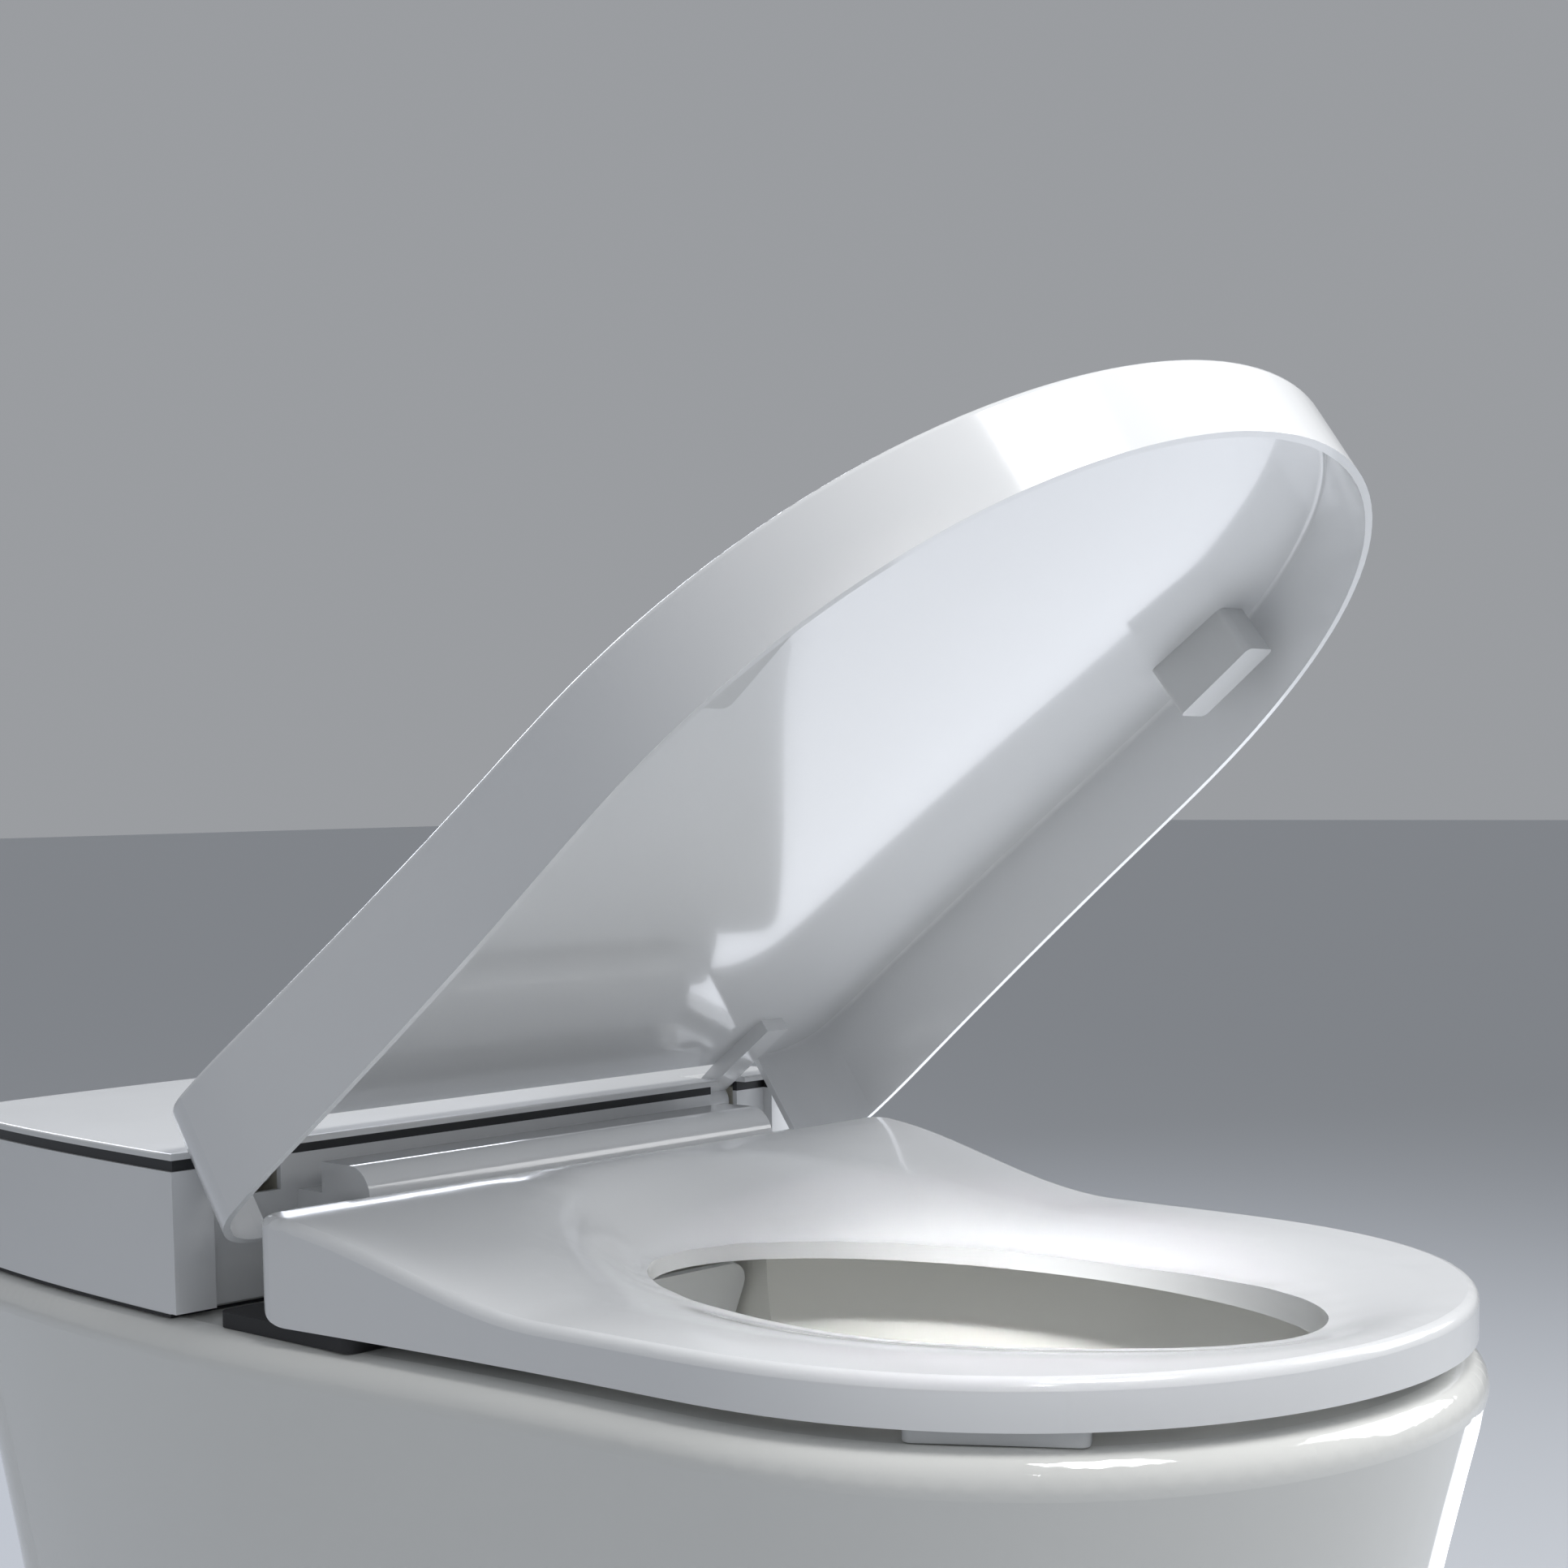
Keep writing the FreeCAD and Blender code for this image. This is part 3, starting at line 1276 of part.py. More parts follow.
# Hinge brackets, pins and the lid's damper and drive
cheek_front_y = plate_front_y
cheek_height = lid_axis_z + s.cheek_top_margin - base_top_z
inner_cheek_x = s.lid_arm_centre - s.lid_arm_width / 2 - s.cheek_gap - s.cheek_thickness
outer_cheek_x = s.lid_arm_centre + s.lid_arm_width / 2 + s.cheek_gap
lid_damper_outer = inner_cheek_x - s.seat_clearance
lid_pin_start = lid_damper_outer - s.lid_socket_depth + s.seat_clearance
lid_pin_stop = outer_cheek_x + s.cheek_thickness + s.lid_pin_end
cheeks, lid_pins = [], []
for side, name in ((-1, "Right"), (1, "Left")):
    for part_name, x in (("Inner", inner_cheek_x), ("Outer", outer_cheek_x)):
        low_x = x if side > 0 else -x - s.cheek_thickness
        plate = box(f"{name}{part_name}CheekPlate", s.cheek_thickness, s.cheek_length, cheek_height,
                    low_x, cheek_front_y, base_top_z)
        hole = cylinder(f"{name}{part_name}CheekHole", s.lid_pin_radius + s.running_fit,
                        s.cheek_thickness + s.cut_overrun * 2, low_x - s.cut_overrun, lid_axis_y, lid_axis_z, "X")
        cheeks.append(cut(f"{name}{part_name}Cheek", plate, hole))
    pin_x = lid_pin_start if side > 0 else -lid_pin_stop
    lid_pins.append(cylinder(f"{name}LidPin", s.lid_pin_radius, lid_pin_stop - lid_pin_start, pin_x,
                             lid_axis_y, lid_axis_z, "X"))
finish(group("HingeBrackets", *cheeks), "hinge_brackets")
finish(group("LidPins", *lid_pins), "lid_pins")

for name, label, side in (("LidDamper", "lid_damper", -1), ("LidDrive", "lid_drive", 1)):
    start = lid_damper_outer - s.lid_damper_length if side > 0 else -lid_damper_outer
    barrel = cylinder(f"{name}Barrel", s.lid_damper_radius, s.lid_damper_length,
                      start, lid_axis_y, lid_axis_z, "X")
    socket_x = lid_damper_outer - s.lid_socket_depth if side > 0 else -lid_damper_outer - s.cut_overrun
    socket = cylinder(f"{name}Socket", s.lid_pin_radius + s.running_fit, s.lid_socket_depth + s.cut_overrun,
                      socket_x, lid_axis_y, lid_axis_z, "X")
    finish(cut(name, barrel, socket), label)

# Wash nozzles: each is drawn along its own sloping axis from the tip, then tilted into place


def tilt(name, label, *shapes):
    made = group(name, *shapes)
    made.Placement = nozzle_place
    return finish(made, label)


def tilted(shape):
    shape.Placement = nozzle_place.multiply(shape.Placement)
    return shape


for side, name, label in ((-1, "RearNozzle", "rear_nozzle"), (1, "FrontNozzle", "front_nozzle")):
    x = side * s.nozzle_half_spread
    barrel = cylinder(f"{name}Barrel", s.nozzle_radius, s.nozzle_length, x, 0, 0, "Y")
    bore = cylinder(f"{name}Bore", s.nozzle_bore_radius, s.nozzle_length, x, s.nozzle_wall_end, 0, "Y")
    spray = cylinder(f"{name}Spray", s.spray_hole_radius, s.nozzle_radius * 2, x, s.spray_hole_reach, 0)
    tilt(name, label, cut(f"{name}Tube", barrel, bore, spray))

guard = new_body("GuardPlate")
guard_sketch = new_sketch(guard, "GuardOutline", "XZ_Plane")
guard_height = s.guard_above + s.guard_below
draw_rectangle(guard_sketch, s.guard_half_width * 2, guard_height, 0, s.guard_above - guard_height / 2)
for side in (-1, 1):
    draw_circle(guard_sketch, s.nozzle_radius + s.guard_hole_clearance, side * s.nozzle_half_spread)
guard_pad = pad(guard, guard_sketch, s.guard_thickness, midplane=True)
doc.recompute()
guard_corners = [
    f"Edge{number}" for number, edge in enumerate(guard_pad.Shape.Edges, start=1)
    if min(abs(v.X) for v in edge.Vertexes) > float(s.guard_half_width - s.running_fit)
    and abs(edge.Vertexes[0].Y - edge.Vertexes[-1].Y) > float(s.running_fit)
]
guard_round = guard.newObject("PartDesign::Fillet", "GuardRounding")
guard_round.Base = (guard_pad, guard_corners)
bind(guard_round, Radius=s.guard_corner)
place(guard, 0, s.guard_thickness / 2, 0)
tilt("NozzleGuard", "nozzle_guard", guard)

pinion_x = s.nozzle_half_spread + s.nozzle_radius + s.pinion_clearance + s.pinion_radius
guide_rear = float(s.guard_thickness + s.guide_length)
guide_half = float(s.guide_half_width)
guide = tilted(block(-guide_half, guide_half, s.guard_thickness, guide_rear,
                     -s.guide_half_height, s.guide_half_height))
foot_y = seat_y + s.guide_foot_setback
foot_half = s.guide_foot_width / 2
foot = block(-foot_half, foot_half, foot_y - s.guide_foot_length / 2, foot_y + s.guide_foot_length / 2,
             base_top_z, guide_top_z + s.guide_half_height)
guide = guide.fuse(foot)
for side in (-1, 1):
    x = side * s.nozzle_half_spread
    bore = s.nozzle_radius + s.running_fit
    guide = guide.cut(tilted(rod(bore, (x, -s.cut_overrun, 0), (x, guide_rear + over, 0))))
    x = side * pinion_x
    pocket_radius = s.pinion_radius + s.pinion_pocket
    pocket_low = -s.pinion_width / 2 - s.pinion_pocket
    pocket_rod = rod(pocket_radius, (x, s.pinion_setback, pocket_low), (x, s.pinion_setback, s.stepper_radius))
    guide = guide.cut(tilted(pocket_rod))
finish(feature("NozzleGuide", guide), "nozzle_guide")

for side, name, label in ((-1, "Rear", "rear"), (1, "Front", "front")):
    x = side * pinion_x
    half = s.pinion_width / 2
    wheel = cylinder(f"{name}PinionWheel", s.pinion_radius, s.pinion_width, x, s.pinion_setback, -half)
    bore = cylinder(f"{name}PinionBore", s.stepper_shaft_radius + s.running_fit, s.pinion_width * 2,
                    x, s.pinion_setback, -s.pinion_width)
    tilt(f"{name}Pinion", f"{label}_pinion", cut(f"{name}PinionRing", wheel, bore))
    shaft, can = s.stepper_shaft_radius, s.stepper_radius
    low, high = s.guide_half_height, s.guide_half_height + s.stepper_length
    profile = [(0, -half), (shaft, -half), (shaft, low), (can, low), (can, high), (0, high)]
    tilt(f"{name}NozzleMotor", f"{label}_nozzle_motor",
         turned_body(f"{name}Stepper", profile, x, s.pinion_setback, 0))

# Water units: heater tank, pump, inlet valve, fitting and the pipes between them
heater_y = seat_y + s.heater_tank_setback
finish(block_body("WaterHeater", s.heater_tank_width, s.heater_tank_length, s.heater_tank_height,
                  -s.heater_tank_centre, heater_y, base_top_z, s.heater_tank_radius), "water_heater")
pump_y = seat_y + s.pump_setback
pump_z = base_top_z + s.pump_head_radius
pump_body_x = -s.pump_inner - s.pump_length
pump_head_x = pump_body_x - s.pump_head_length
finish(fuse(
    "WashPump",
    cylinder("PumpMotor", s.pump_radius, s.pump_length, pump_body_x, pump_y, pump_z, "X"),
    cylinder("PumpHead", s.pump_head_radius, s.pump_head_length, pump_head_x, pump_y, pump_z, "X"),
), "wash_pump")
valve_body = block_body("ValveBody", s.valve_width, s.valve_length, s.valve_height, inlet_x, inlet_y, base_top_z)
coil = cylinder("ValveCoil", s.valve_coil_radius, s.valve_coil_height,
                inlet_x, inlet_y, base_top_z + s.valve_height)
finish(fuse("InletValve", valve_body, coil), "inlet_valve")
fitting_end = s.inlet_neck_length + s.inlet_length
fitting_profile = [
    (s.inlet_bore_radius, 0), (s.inlet_neck_radius, 0), (s.inlet_neck_radius, s.inlet_neck_length),
    (s.inlet_thread_radius, s.inlet_neck_length), (s.inlet_thread_radius, fitting_end),
    (s.inlet_bore_radius, fitting_end),
]
valve_rear_y = inlet_y + s.valve_length / 2
finish(turned_body("InletFitting", fitting_profile, inlet_x, valve_rear_y, inlet_z, Vector(1, 0, 0), -90),
       "inlet_fitting")

heater_rear_y = heater_y + s.heater_tank_length / 2
valve_front_y = inlet_y - s.valve_length / 2
finish(cylinder("HeaterFeedPipe", s.tube_radius, valve_front_y - heater_rear_y,
                inlet_x, heater_rear_y, inlet_z, "Y"), "heater_feed_pipe")
heater_side_x = s.heater_tank_width / 2 - s.heater_tank_centre
pump_head_middle = pump_head_x + s.pump_head_length / 2
pump_pipe_y = heater_rear_y - s.pump_head_radius
pump_pipe = tube([
    Vector(heater_side_x, pump_pipe_y, pump_z), Vector(pump_head_middle, pump_pipe_y, pump_z),
    Vector(pump_head_middle, pump_y - s.pump_head_radius, pump_z),
], s.tube_radius, s.tube_bend)
finish(feature("PumpFeedPipe", pump_pipe), "pump_feed_pipe")
wash_pipe_x = pump_body_x + s.pump_length / 2
wash_pipe = tube([
    Vector(wash_pipe_x, pump_y - s.pump_radius, pump_z), Vector(wash_pipe_x, foot_y, pump_z),
    Vector(-s.guide_half_width, foot_y, pump_z),
], s.tube_radius, s.tube_bend)
finish(feature("WashPipe", wash_pipe), "wash_pipe")

# Flush valve under the deck and the pipe from it to the basin
deck_under_z = deck_z - s.ceramic_deck
valve_can = cylinder("FlushValveCan", s.flush_valve_radius, s.flush_valve_height, 0, flush_valve_y,
                     deck_under_z - s.flush_valve_height)
port_length = s.flush_port_length + s.flush_valve_radius
port = cylinder("FlushValvePort", s.flush_pipe_radius, port_length, 0, flush_pipe_end_y, flush_z, "Y")
finish(fuse("FlushValve", valve_can, port), "flush_valve")
flush_start_y = seat_y + s.flush_boss_length / 2
flush_length = flush_pipe_end_y - flush_start_y
flush_outer = cylinder("FlushPipeOuter", s.flush_pipe_radius, flush_length, 0, flush_start_y, flush_z, "Y")
flush_inner = cylinder("FlushPipeInner", s.flush_pipe_radius - s.flush_pipe_wall, flush_length + s.cut_overrun * 2,
                       0, flush_start_y - s.cut_overrun, flush_z, "Y")
finish(cut("FlushPipe", flush_outer, flush_inner), "flush_pipe")

# Dryer: fan housing with its impeller and motor, and the duct to the front
fan_y = seat_y + s.fan_setback
fan_x = s.fan_centre
fan_floor_z = base_top_z + s.fan_wall
fan_top_z = base_top_z + s.fan_height
duct_low, duct_high = duct_x - s.duct_width / 2, duct_x + s.duct_width / 2
duct_front_y = seat_y + s.duct_front
duct_outer = block(duct_low, duct_high, duct_front_y, fan_y, base_top_z, duct_top_z)
duct_inner = block(duct_low + s.duct_wall, duct_high - s.duct_wall, duct_front_y - s.cut_overrun, fan_y,
                   base_top_z + s.fan_wall, duct_top_z - s.duct_wall)
casing = rod(s.fan_radius, (fan_x, fan_y, base_top_z), (fan_x, fan_y, fan_top_z))
fan_floor = (fan_x, fan_y, fan_floor_z)
casing = casing.cut(rod(s.fan_radius - s.fan_wall, fan_floor, (fan_x, fan_y, fan_top_z - s.fan_wall)))
casing = casing.cut(rod(s.fan_inlet_radius, fan_floor, (fan_x, fan_y, fan_top_z + s.cut_overrun)))
finish(feature("FanHousing", casing.cut(duct_inner)), "fan_housing")
duct = duct_outer.cut(duct_inner)
duct = duct.cut(rod(s.fan_radius + s.seat_clearance, (fan_x, fan_y, base_z), (fan_x, fan_y, cover_z)))
finish(feature("DryerDuct", duct), "dryer_duct")

fan_plate_z = fan_floor_z + s.fan_motor_height + s.seat_clearance
shaft, can = s.fan_shaft_radius, s.fan_motor_radius
motor_top = s.fan_motor_height + s.seat_clearance + s.fan_hub_height
motor_profile = [(0, 0), (can, 0), (can, s.fan_motor_height), (shaft, s.fan_motor_height), (shaft, motor_top),
                 (0, motor_top)]
finish(turned_body("FanMotor", motor_profile, fan_x, fan_y, fan_floor_z), "fan_motor")
FAN_BLADES = 14
impeller_radius = s.fan_radius - s.fan_wall - s.fan_clearance
impeller = rod(impeller_radius, (0, 0, 0), (0, 0, s.fan_plate_thickness))
impeller = impeller.fuse(rod(s.fan_hub_radius, (0, 0, 0), (0, 0, s.fan_hub_height)))
blade_half = s.fan_blade_thickness / 2
blade_top = s.fan_plate_thickness + s.fan_blade_height
for number in range(FAN_BLADES):
    blade = block(s.fan_blade_start, impeller_radius - blade_half, -blade_half, blade_half, 0, blade_top)
    blade.rotate(Vector(), Vector(0, 0, 1), 360 * number / FAN_BLADES)
    impeller = impeller.fuse(blade)
impeller = impeller.cut(rod(
    shaft + s.running_fit, (0, 0, -s.cut_overrun), (0, 0, s.fan_hub_height + s.cut_overrun)
))
fan_impeller = feature("FanImpeller", impeller.removeSplitter())
fan_impeller.Placement = Placement(Vector(fan_x, fan_y, fan_plate_z), Rotation())
finish(fan_impeller, "fan_impeller")

# Electrics: controller board on its standoffs, power supply and cable gland
board_z = base_top_z + s.standoff_height
finish(box("ControllerBoard", s.board_length, s.board_width, s.board_thickness,
           s.board_centre - s.board_length / 2, board_y - s.board_width / 2, board_z), "controller_board")
finish(block_body("PowerSupply", s.supply_width, s.supply_length, s.supply_height, s.supply_centre,
                  seat_y + s.supply_setback, base_top_z, s.supply_corner), "power_supply")
gland_barrel_radius = s.gland_radius - s.gland_flange
gland_face_y = housing_rear_y + s.running_fit
gland = fuse(
    "GlandBody",
    cylinder("GlandFlange", s.gland_radius, s.gland_flange, 0, gland_face_y, gland_z, "Y"),
    cylinder("GlandBarrel", gland_barrel_radius, s.gland_length,
             0, gland_face_y - s.gland_length, gland_z, "Y"),
)
gland_bore = cylinder("GlandBore", s.gland_bore_radius, s.gland_length + s.gland_flange + s.cut_overrun * 2,
                      0, gland_face_y - s.gland_length - s.cut_overrun, gland_z, "Y")
finish(cut("CableGland", gland, gland_bore), "cable_gland")

# Deodoriser cartridge that slides out of the side, and the case it runs in
filter_low_y, filter_high_y = filter_y - s.filter_width / 2, filter_y + s.filter_width / 2
filter_high_z = filter_z + s.filter_height
filter_inner_x = half_width(-float(s.filter_setback), float(s.seat_length)) - float(s.filter_length)
cartridge = block(filter_inner_x, whole_width, filter_low_y, filter_high_y, filter_z, filter_high_z)
cartridge = cartridge.common(housing_slab(base_top_z, cover_z, s.filter_face_drop, face_y))
finish(feature("DeodoriserCartridge", cartridge), "deodoriser_cartridge")
gap, skin = s.filter_clearance, s.filter_clearance + s.filter_wall
case = block(filter_inner_x - skin, whole_width, filter_low_y - skin, filter_high_y + skin,
             filter_z - skin, filter_high_z + skin)
case = case.cut(block(filter_inner_x - gap, whole_width + over, filter_low_y - gap, filter_high_y + gap,
                      filter_z - gap, filter_high_z + gap))
case = case.common(housing_slab(base_top_z, cover_z, plate_inset, face_y))
finish(feature("CartridgeCase", case), "cartridge_case")

# Side buttons and the switch carrier behind them
button_inner_x = whole_width
for y, name, label in zip(button_ys, ("PowerButton", "FlushButton"), ("power_button", "flush_button")):
    wall_x = half_width(float(seat_y - y), float(s.seat_length))
    low_x = wall_x + float(s.button_proud - s.button_length)
    button_inner_x = min(button_inner_x, low_x)
    finish(cylinder(name, s.button_radius, s.button_length, low_x, y, button_z, "X"), label)
carrier_x = button_inner_x - float(s.button_travel + s.seat_clearance + s.carrier_thickness)
carrier_length = s.button_pitch + s.button_radius * 2
finish(box("ButtonCarrier", s.carrier_thickness, carrier_length, s.carrier_height,
           carrier_x, seat_y + s.button_setback - carrier_length / 2, base_top_z), "button_carrier")

doc.recompute()
for item in doc.Objects:
    if "Invalid" in item.State or "Error" in item.State:
        raise RuntimeError(f"{item.Name} did not build: {item.State}")
os.makedirs("parts", exist_ok=True)
for piece in pieces:
    if piece.Shape.isNull() or not piece.Shape.isValid() or not piece.Shape.Solids:
        raise RuntimeError(f"{piece.Label} has no valid shape")
for piece in pieces:
    piece.Shape.exportStep(f"parts/{piece.Label}.step")
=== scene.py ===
import json
import math

import bmesh
import bpy
from mathutils import Matrix, Vector


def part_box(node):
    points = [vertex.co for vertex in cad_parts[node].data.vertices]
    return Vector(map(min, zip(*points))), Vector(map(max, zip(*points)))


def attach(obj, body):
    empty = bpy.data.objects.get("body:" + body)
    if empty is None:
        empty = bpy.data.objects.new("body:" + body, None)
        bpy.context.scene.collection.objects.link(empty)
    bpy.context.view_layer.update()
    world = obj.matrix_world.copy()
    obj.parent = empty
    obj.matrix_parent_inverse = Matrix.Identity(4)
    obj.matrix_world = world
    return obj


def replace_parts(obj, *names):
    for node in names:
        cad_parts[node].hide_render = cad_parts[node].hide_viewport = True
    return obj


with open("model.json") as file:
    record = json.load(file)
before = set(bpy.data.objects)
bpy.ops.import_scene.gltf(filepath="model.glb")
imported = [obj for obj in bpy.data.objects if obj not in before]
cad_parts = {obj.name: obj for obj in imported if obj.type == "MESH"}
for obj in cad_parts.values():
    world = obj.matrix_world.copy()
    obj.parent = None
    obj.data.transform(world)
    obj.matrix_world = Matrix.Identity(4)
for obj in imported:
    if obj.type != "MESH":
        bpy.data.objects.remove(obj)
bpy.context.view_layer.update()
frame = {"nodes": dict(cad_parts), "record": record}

# Looks of a bidet toilet in metres, in the same frame as its solids.
# The front faces -Y, +X is the sitter's left and the floor is at zero.
MM = 0.001
NODES = frame["nodes"]
BODY = {name: body for body, names in frame["record"]["behaviour"]["bodies"].items() for name in names}


# Materials
# One table holds every finish: glazed china, gloss and satin mouldings, rubber, metals, board and foil.
# IOR and roughness are typical values for the real materials.
def colour(code):
    """A linear colour from a hex sRGB code."""
    parts = [int(code[i:i + 2], 16) / 255 for i in (1, 3, 5)]
    return [p / 12.92 if p <= 0.04045 else ((p + 0.055) / 1.055) ** 2.4 for p in parts] + [1.0]


def add_node(tree, kind, **sockets):
    """Adds a shader node and sets its inputs by name."""
    made = tree.nodes.new(kind)
    for name, value in sockets.items():
        made.inputs[name.replace("_", " ")].default_value = value
    return made


# name: colour, roughness, IOR, metallic, coat, grain size in mm, grain depth in mm, roughness change
FINISHES = {
    # vitreous china under a clear glaze, with the faint waviness of a dipped glaze
    "glazed_ceramic": ("#F0F0EC", 0.07, 1.52, 0.0, 0.6, 55, 0.03, 0.02),
    # polished polypropylene and ABS mouldings
    "gloss_white_plastic": ("#F1F2F3", 0.13, 1.50, 0.0, 0.35, 60, 0.012, 0.03),
    "cover_plastic": ("#ECEDED", 0.16, 1.50, 0.0, 0.3, 60, 0.012, 0.03),
    # dark grey satin ABS for the trim band under the top cover; its dark colour there is partly painted shade
    # for that recessed gap
    "dark_trim_plastic": ("#2A2B2E", 0.32, 1.53, 0.0, 0.0, 1.2, 0.006, 0.05),
    # plain mouldings inside the housing
    "chassis_plastic": ("#C9CAC8", 0.48, 1.49, 0.0, 0.0, 0.8, 0.010, 0.06),
    "nozzle_plastic": ("#EDEFF1", 0.20, 1.50, 0.0, 0.2, 20, 0.006, 0.03),
    "button_plastic": ("#D8D9DA", 0.34, 1.50, 0.0, 0.0, 0.9, 0.006, 0.05),
    # natural nylon and acetal
    "nylon": ("#DDD9CB", 0.42, 1.53, 0.0, 0.0, 1.5, 0.008, 0.06),
    "tank_plastic": ("#A9ABAD", 0.45, 1.49, 0.0, 0.0, 1.0, 0.012, 0.06),
    # moulded rubber
    "dark_rubber": ("#303032", 0.62, 1.52, 0.0, 0.0, 1.0, 0.015, 0.08),
    "light_rubber": ("#DADBDB", 0.50, 1.52, 0.0, 0.0, 1.0, 0.010, 0.06),
    "gland_nylon": ("#1E1E1F", 0.45, 1.53, 0.0, 0.0, 1.0, 0.008, 0.06),
    # translucent silicone hose
    "hose_silicone": ("#CFD2D6", 0.35, 1.41, 0.0, 0.0, 3.0, 0.006, 0.05),
    # rigid grey pipe
    "pipe_grey": ("#8E9194", 0.40, 1.53, 0.0, 0.0, 2.0, 0.006, 0.05),
    # stainless steel, plated cans and brass
    "stainless_steel": ("#B8B9BB", 0.28, 2.50, 1.0, 0.0, 0.6, 0.004, 0.10),
    "motor_steel": ("#A3A5A8", 0.34, 2.50, 1.0, 0.0, 0.9, 0.004, 0.10),
    "brass": ("#C29A55", 0.26, 2.50, 1.0, 0.0, 0.9, 0.004, 0.08),
    # solder mask and polyimide foil
    "circuit_board": ("#0D4A26", 0.30, 1.55, 0.0, 0.3, 1.4, 0.004, 0.05),
    "heating_foil": ("#B8742A", 0.30, 1.70, 0.0, 0.2, 2.0, 0.004, 0.05),
}


coat_roughness = 0.04


def finish(name, code, rough, ior, metallic, coat, grain, depth, change):
    """A principled material with a fine grain and a slight change of roughness over the surface."""
    made = bpy.data.materials.new(name)
    made.use_nodes = True
    tree = made.node_tree
    shader = tree.nodes["Principled BSDF"]
    shader.inputs["Base Color"].default_value = colour(code)
    shader.inputs["IOR"].default_value = ior
    shader.inputs["Metallic"].default_value = metallic
    shader.inputs["Coat Weight"].default_value = coat
    shader.inputs["Coat Roughness"].default_value = coat_roughness
    place = add_node(tree, "ShaderNodeTexCoord")
    noise = add_node(tree, "ShaderNodeTexNoise", Scale=1 / (grain * MM), Detail=2.0, Roughness=0.5)
    tree.links.new(place.outputs["Object"], noise.inputs["Vector"])
    spread = add_node(tree, "ShaderNodeMapRange")
    spread.inputs["To Min"].default_value = rough - change / 2
    spread.inputs["To Max"].default_value = rough + change / 2
    tree.links.new(noise.outputs["Fac"], spread.inputs["Value"])
    tree.links.new(spread.outputs["Result"], shader.inputs["Roughness"])
    bump = add_node(tree, "ShaderNodeBump", Strength=1.0, Distance=depth * MM)
    tree.links.new(noise.outputs["Fac"], bump.inputs["Height"])
    tree.links.new(bump.outputs["Normal"], shader.inputs["Normal"])
    return made


MATERIALS = {name: finish(name, *values) for name, values in FINISHES.items()}
SLOT = {row["node"]: row["material_slot"] for row in frame["record"]["subparts"]}
for name, solid in NODES.items():
    solid.data.materials.clear()
    solid.data.materials.append(MATERIALS[SLOT[name]])


# Helpers for added pieces
# Each piece is a mesh at the origin with its place in its points, and it rides on the body that carries it.
round_steps, ring_steps = 2, 64


def piece(name, build, body, slot, smooth_angle=35):
    """Builds a mesh with bmesh and hangs it on a body."""
    mesh = bpy.data.meshes.new(name)
    bm = bmesh.new()
    build(bm)
    bmesh.ops.recalc_face_normals(bm, faces=bm.faces)
    for face in bm.faces:
        face.smooth = True
    for edge in bm.edges:
        edge.smooth = len(edge.link_faces) == 2 and edge.calc_face_angle() < math.radians(smooth_angle)
    bm.to_mesh(mesh)
    bm.free()
    made = bpy.data.objects.new(name, mesh)
    bpy.context.scene.collection.objects.link(made)
    mesh.materials.append(MATERIALS[slot])
    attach(made, body)
    return made


def rounded_block(bm, low, high, radius):
    """A box between two corners in metres, with bevelled edges."""
    low, high = Vector(low), Vector(high)
    size = high - low
    place = Matrix.Translation((low + high) / 2) @ Matrix.Diagonal((*size, 1))
    made = bmesh.ops.create_cube(bm, size=1, matrix=place)
    edges = list({edge for vert in made["verts"] for edge in vert.link_edges})
    bmesh.ops.bevel(bm, geom=edges, offset=radius, segments=round_steps, profile=0.5, affect="EDGES",
                    material=-1, offset_type="OFFSET")


def turned_ring(bm, profile, centre, turn=Matrix(), steps=ring_steps):
    """A full turn of a closed profile of radius and height pairs about an upright axis, then laid over."""
    rings = [bm.verts.new((radius, 0, height)) for radius, height in profile]
    edges = [bm.edges.new((a, b)) for a, b in zip(rings, rings[1:] + rings[:1])]
    bmesh.ops.spin(bm, geom=rings + edges, cent=(0, 0, 0), axis=(0, 0, 1), angle=math.tau, steps=steps,
                   use_merge=True)
    bmesh.ops.transform(bm, matrix=Matrix.Translation(centre) @ turn, verts=bm.verts)


# Front seat buffers
# The pair under the front of the seat in pale rubber, with their edges softened as moulded.
buffer_softness, same_point = 0.8 * MM, 0.001 * MM
flat_angle, rim_angle = math.radians(1), math.radians(60)


def soft_buffers(bm):
    bm.from_mesh(NODES["seat_buffers"].data)
    bmesh.ops.remove_doubles(bm, verts=bm.verts, dist=same_point)
    bmesh.ops.dissolve_limit(bm, angle_limit=flat_angle, verts=bm.verts, edges=bm.edges)
    rims = [edge for edge in bm.edges if edge.is_manifold and edge.calc_face_angle() > rim_angle]
    bmesh.ops.bevel(bm, geom=rims, offset=buffer_softness, segments=round_steps, profile=0.5, affect="EDGES",
                    material=-1)


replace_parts(piece("front_buffers", soft_buffers, BODY["seat_buffers"], "light_rubber"), "seat_buffers")


# Water inlet
# The brass fitting with a pipe thread cut on it, 14 turns to the inch, and a plain collar next to the valve.
inlet_low, inlet_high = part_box("inlet_fitting")
inlet_centre = (inlet_low + inlet_high) / 2
inlet_radius = (inlet_high.x - inlet_low.x) / 2
inlet_bore, neck_radius, neck_length, collar_end = 5 * MM, 9 * MM, 2 * MM, 10 * MM
thread_depth, thread_pitch, thread_smooth_angle = 1.16 * MM, 1.814 * MM, 20
to_rear = Matrix.Rotation(-math.pi / 2, 4, "X")


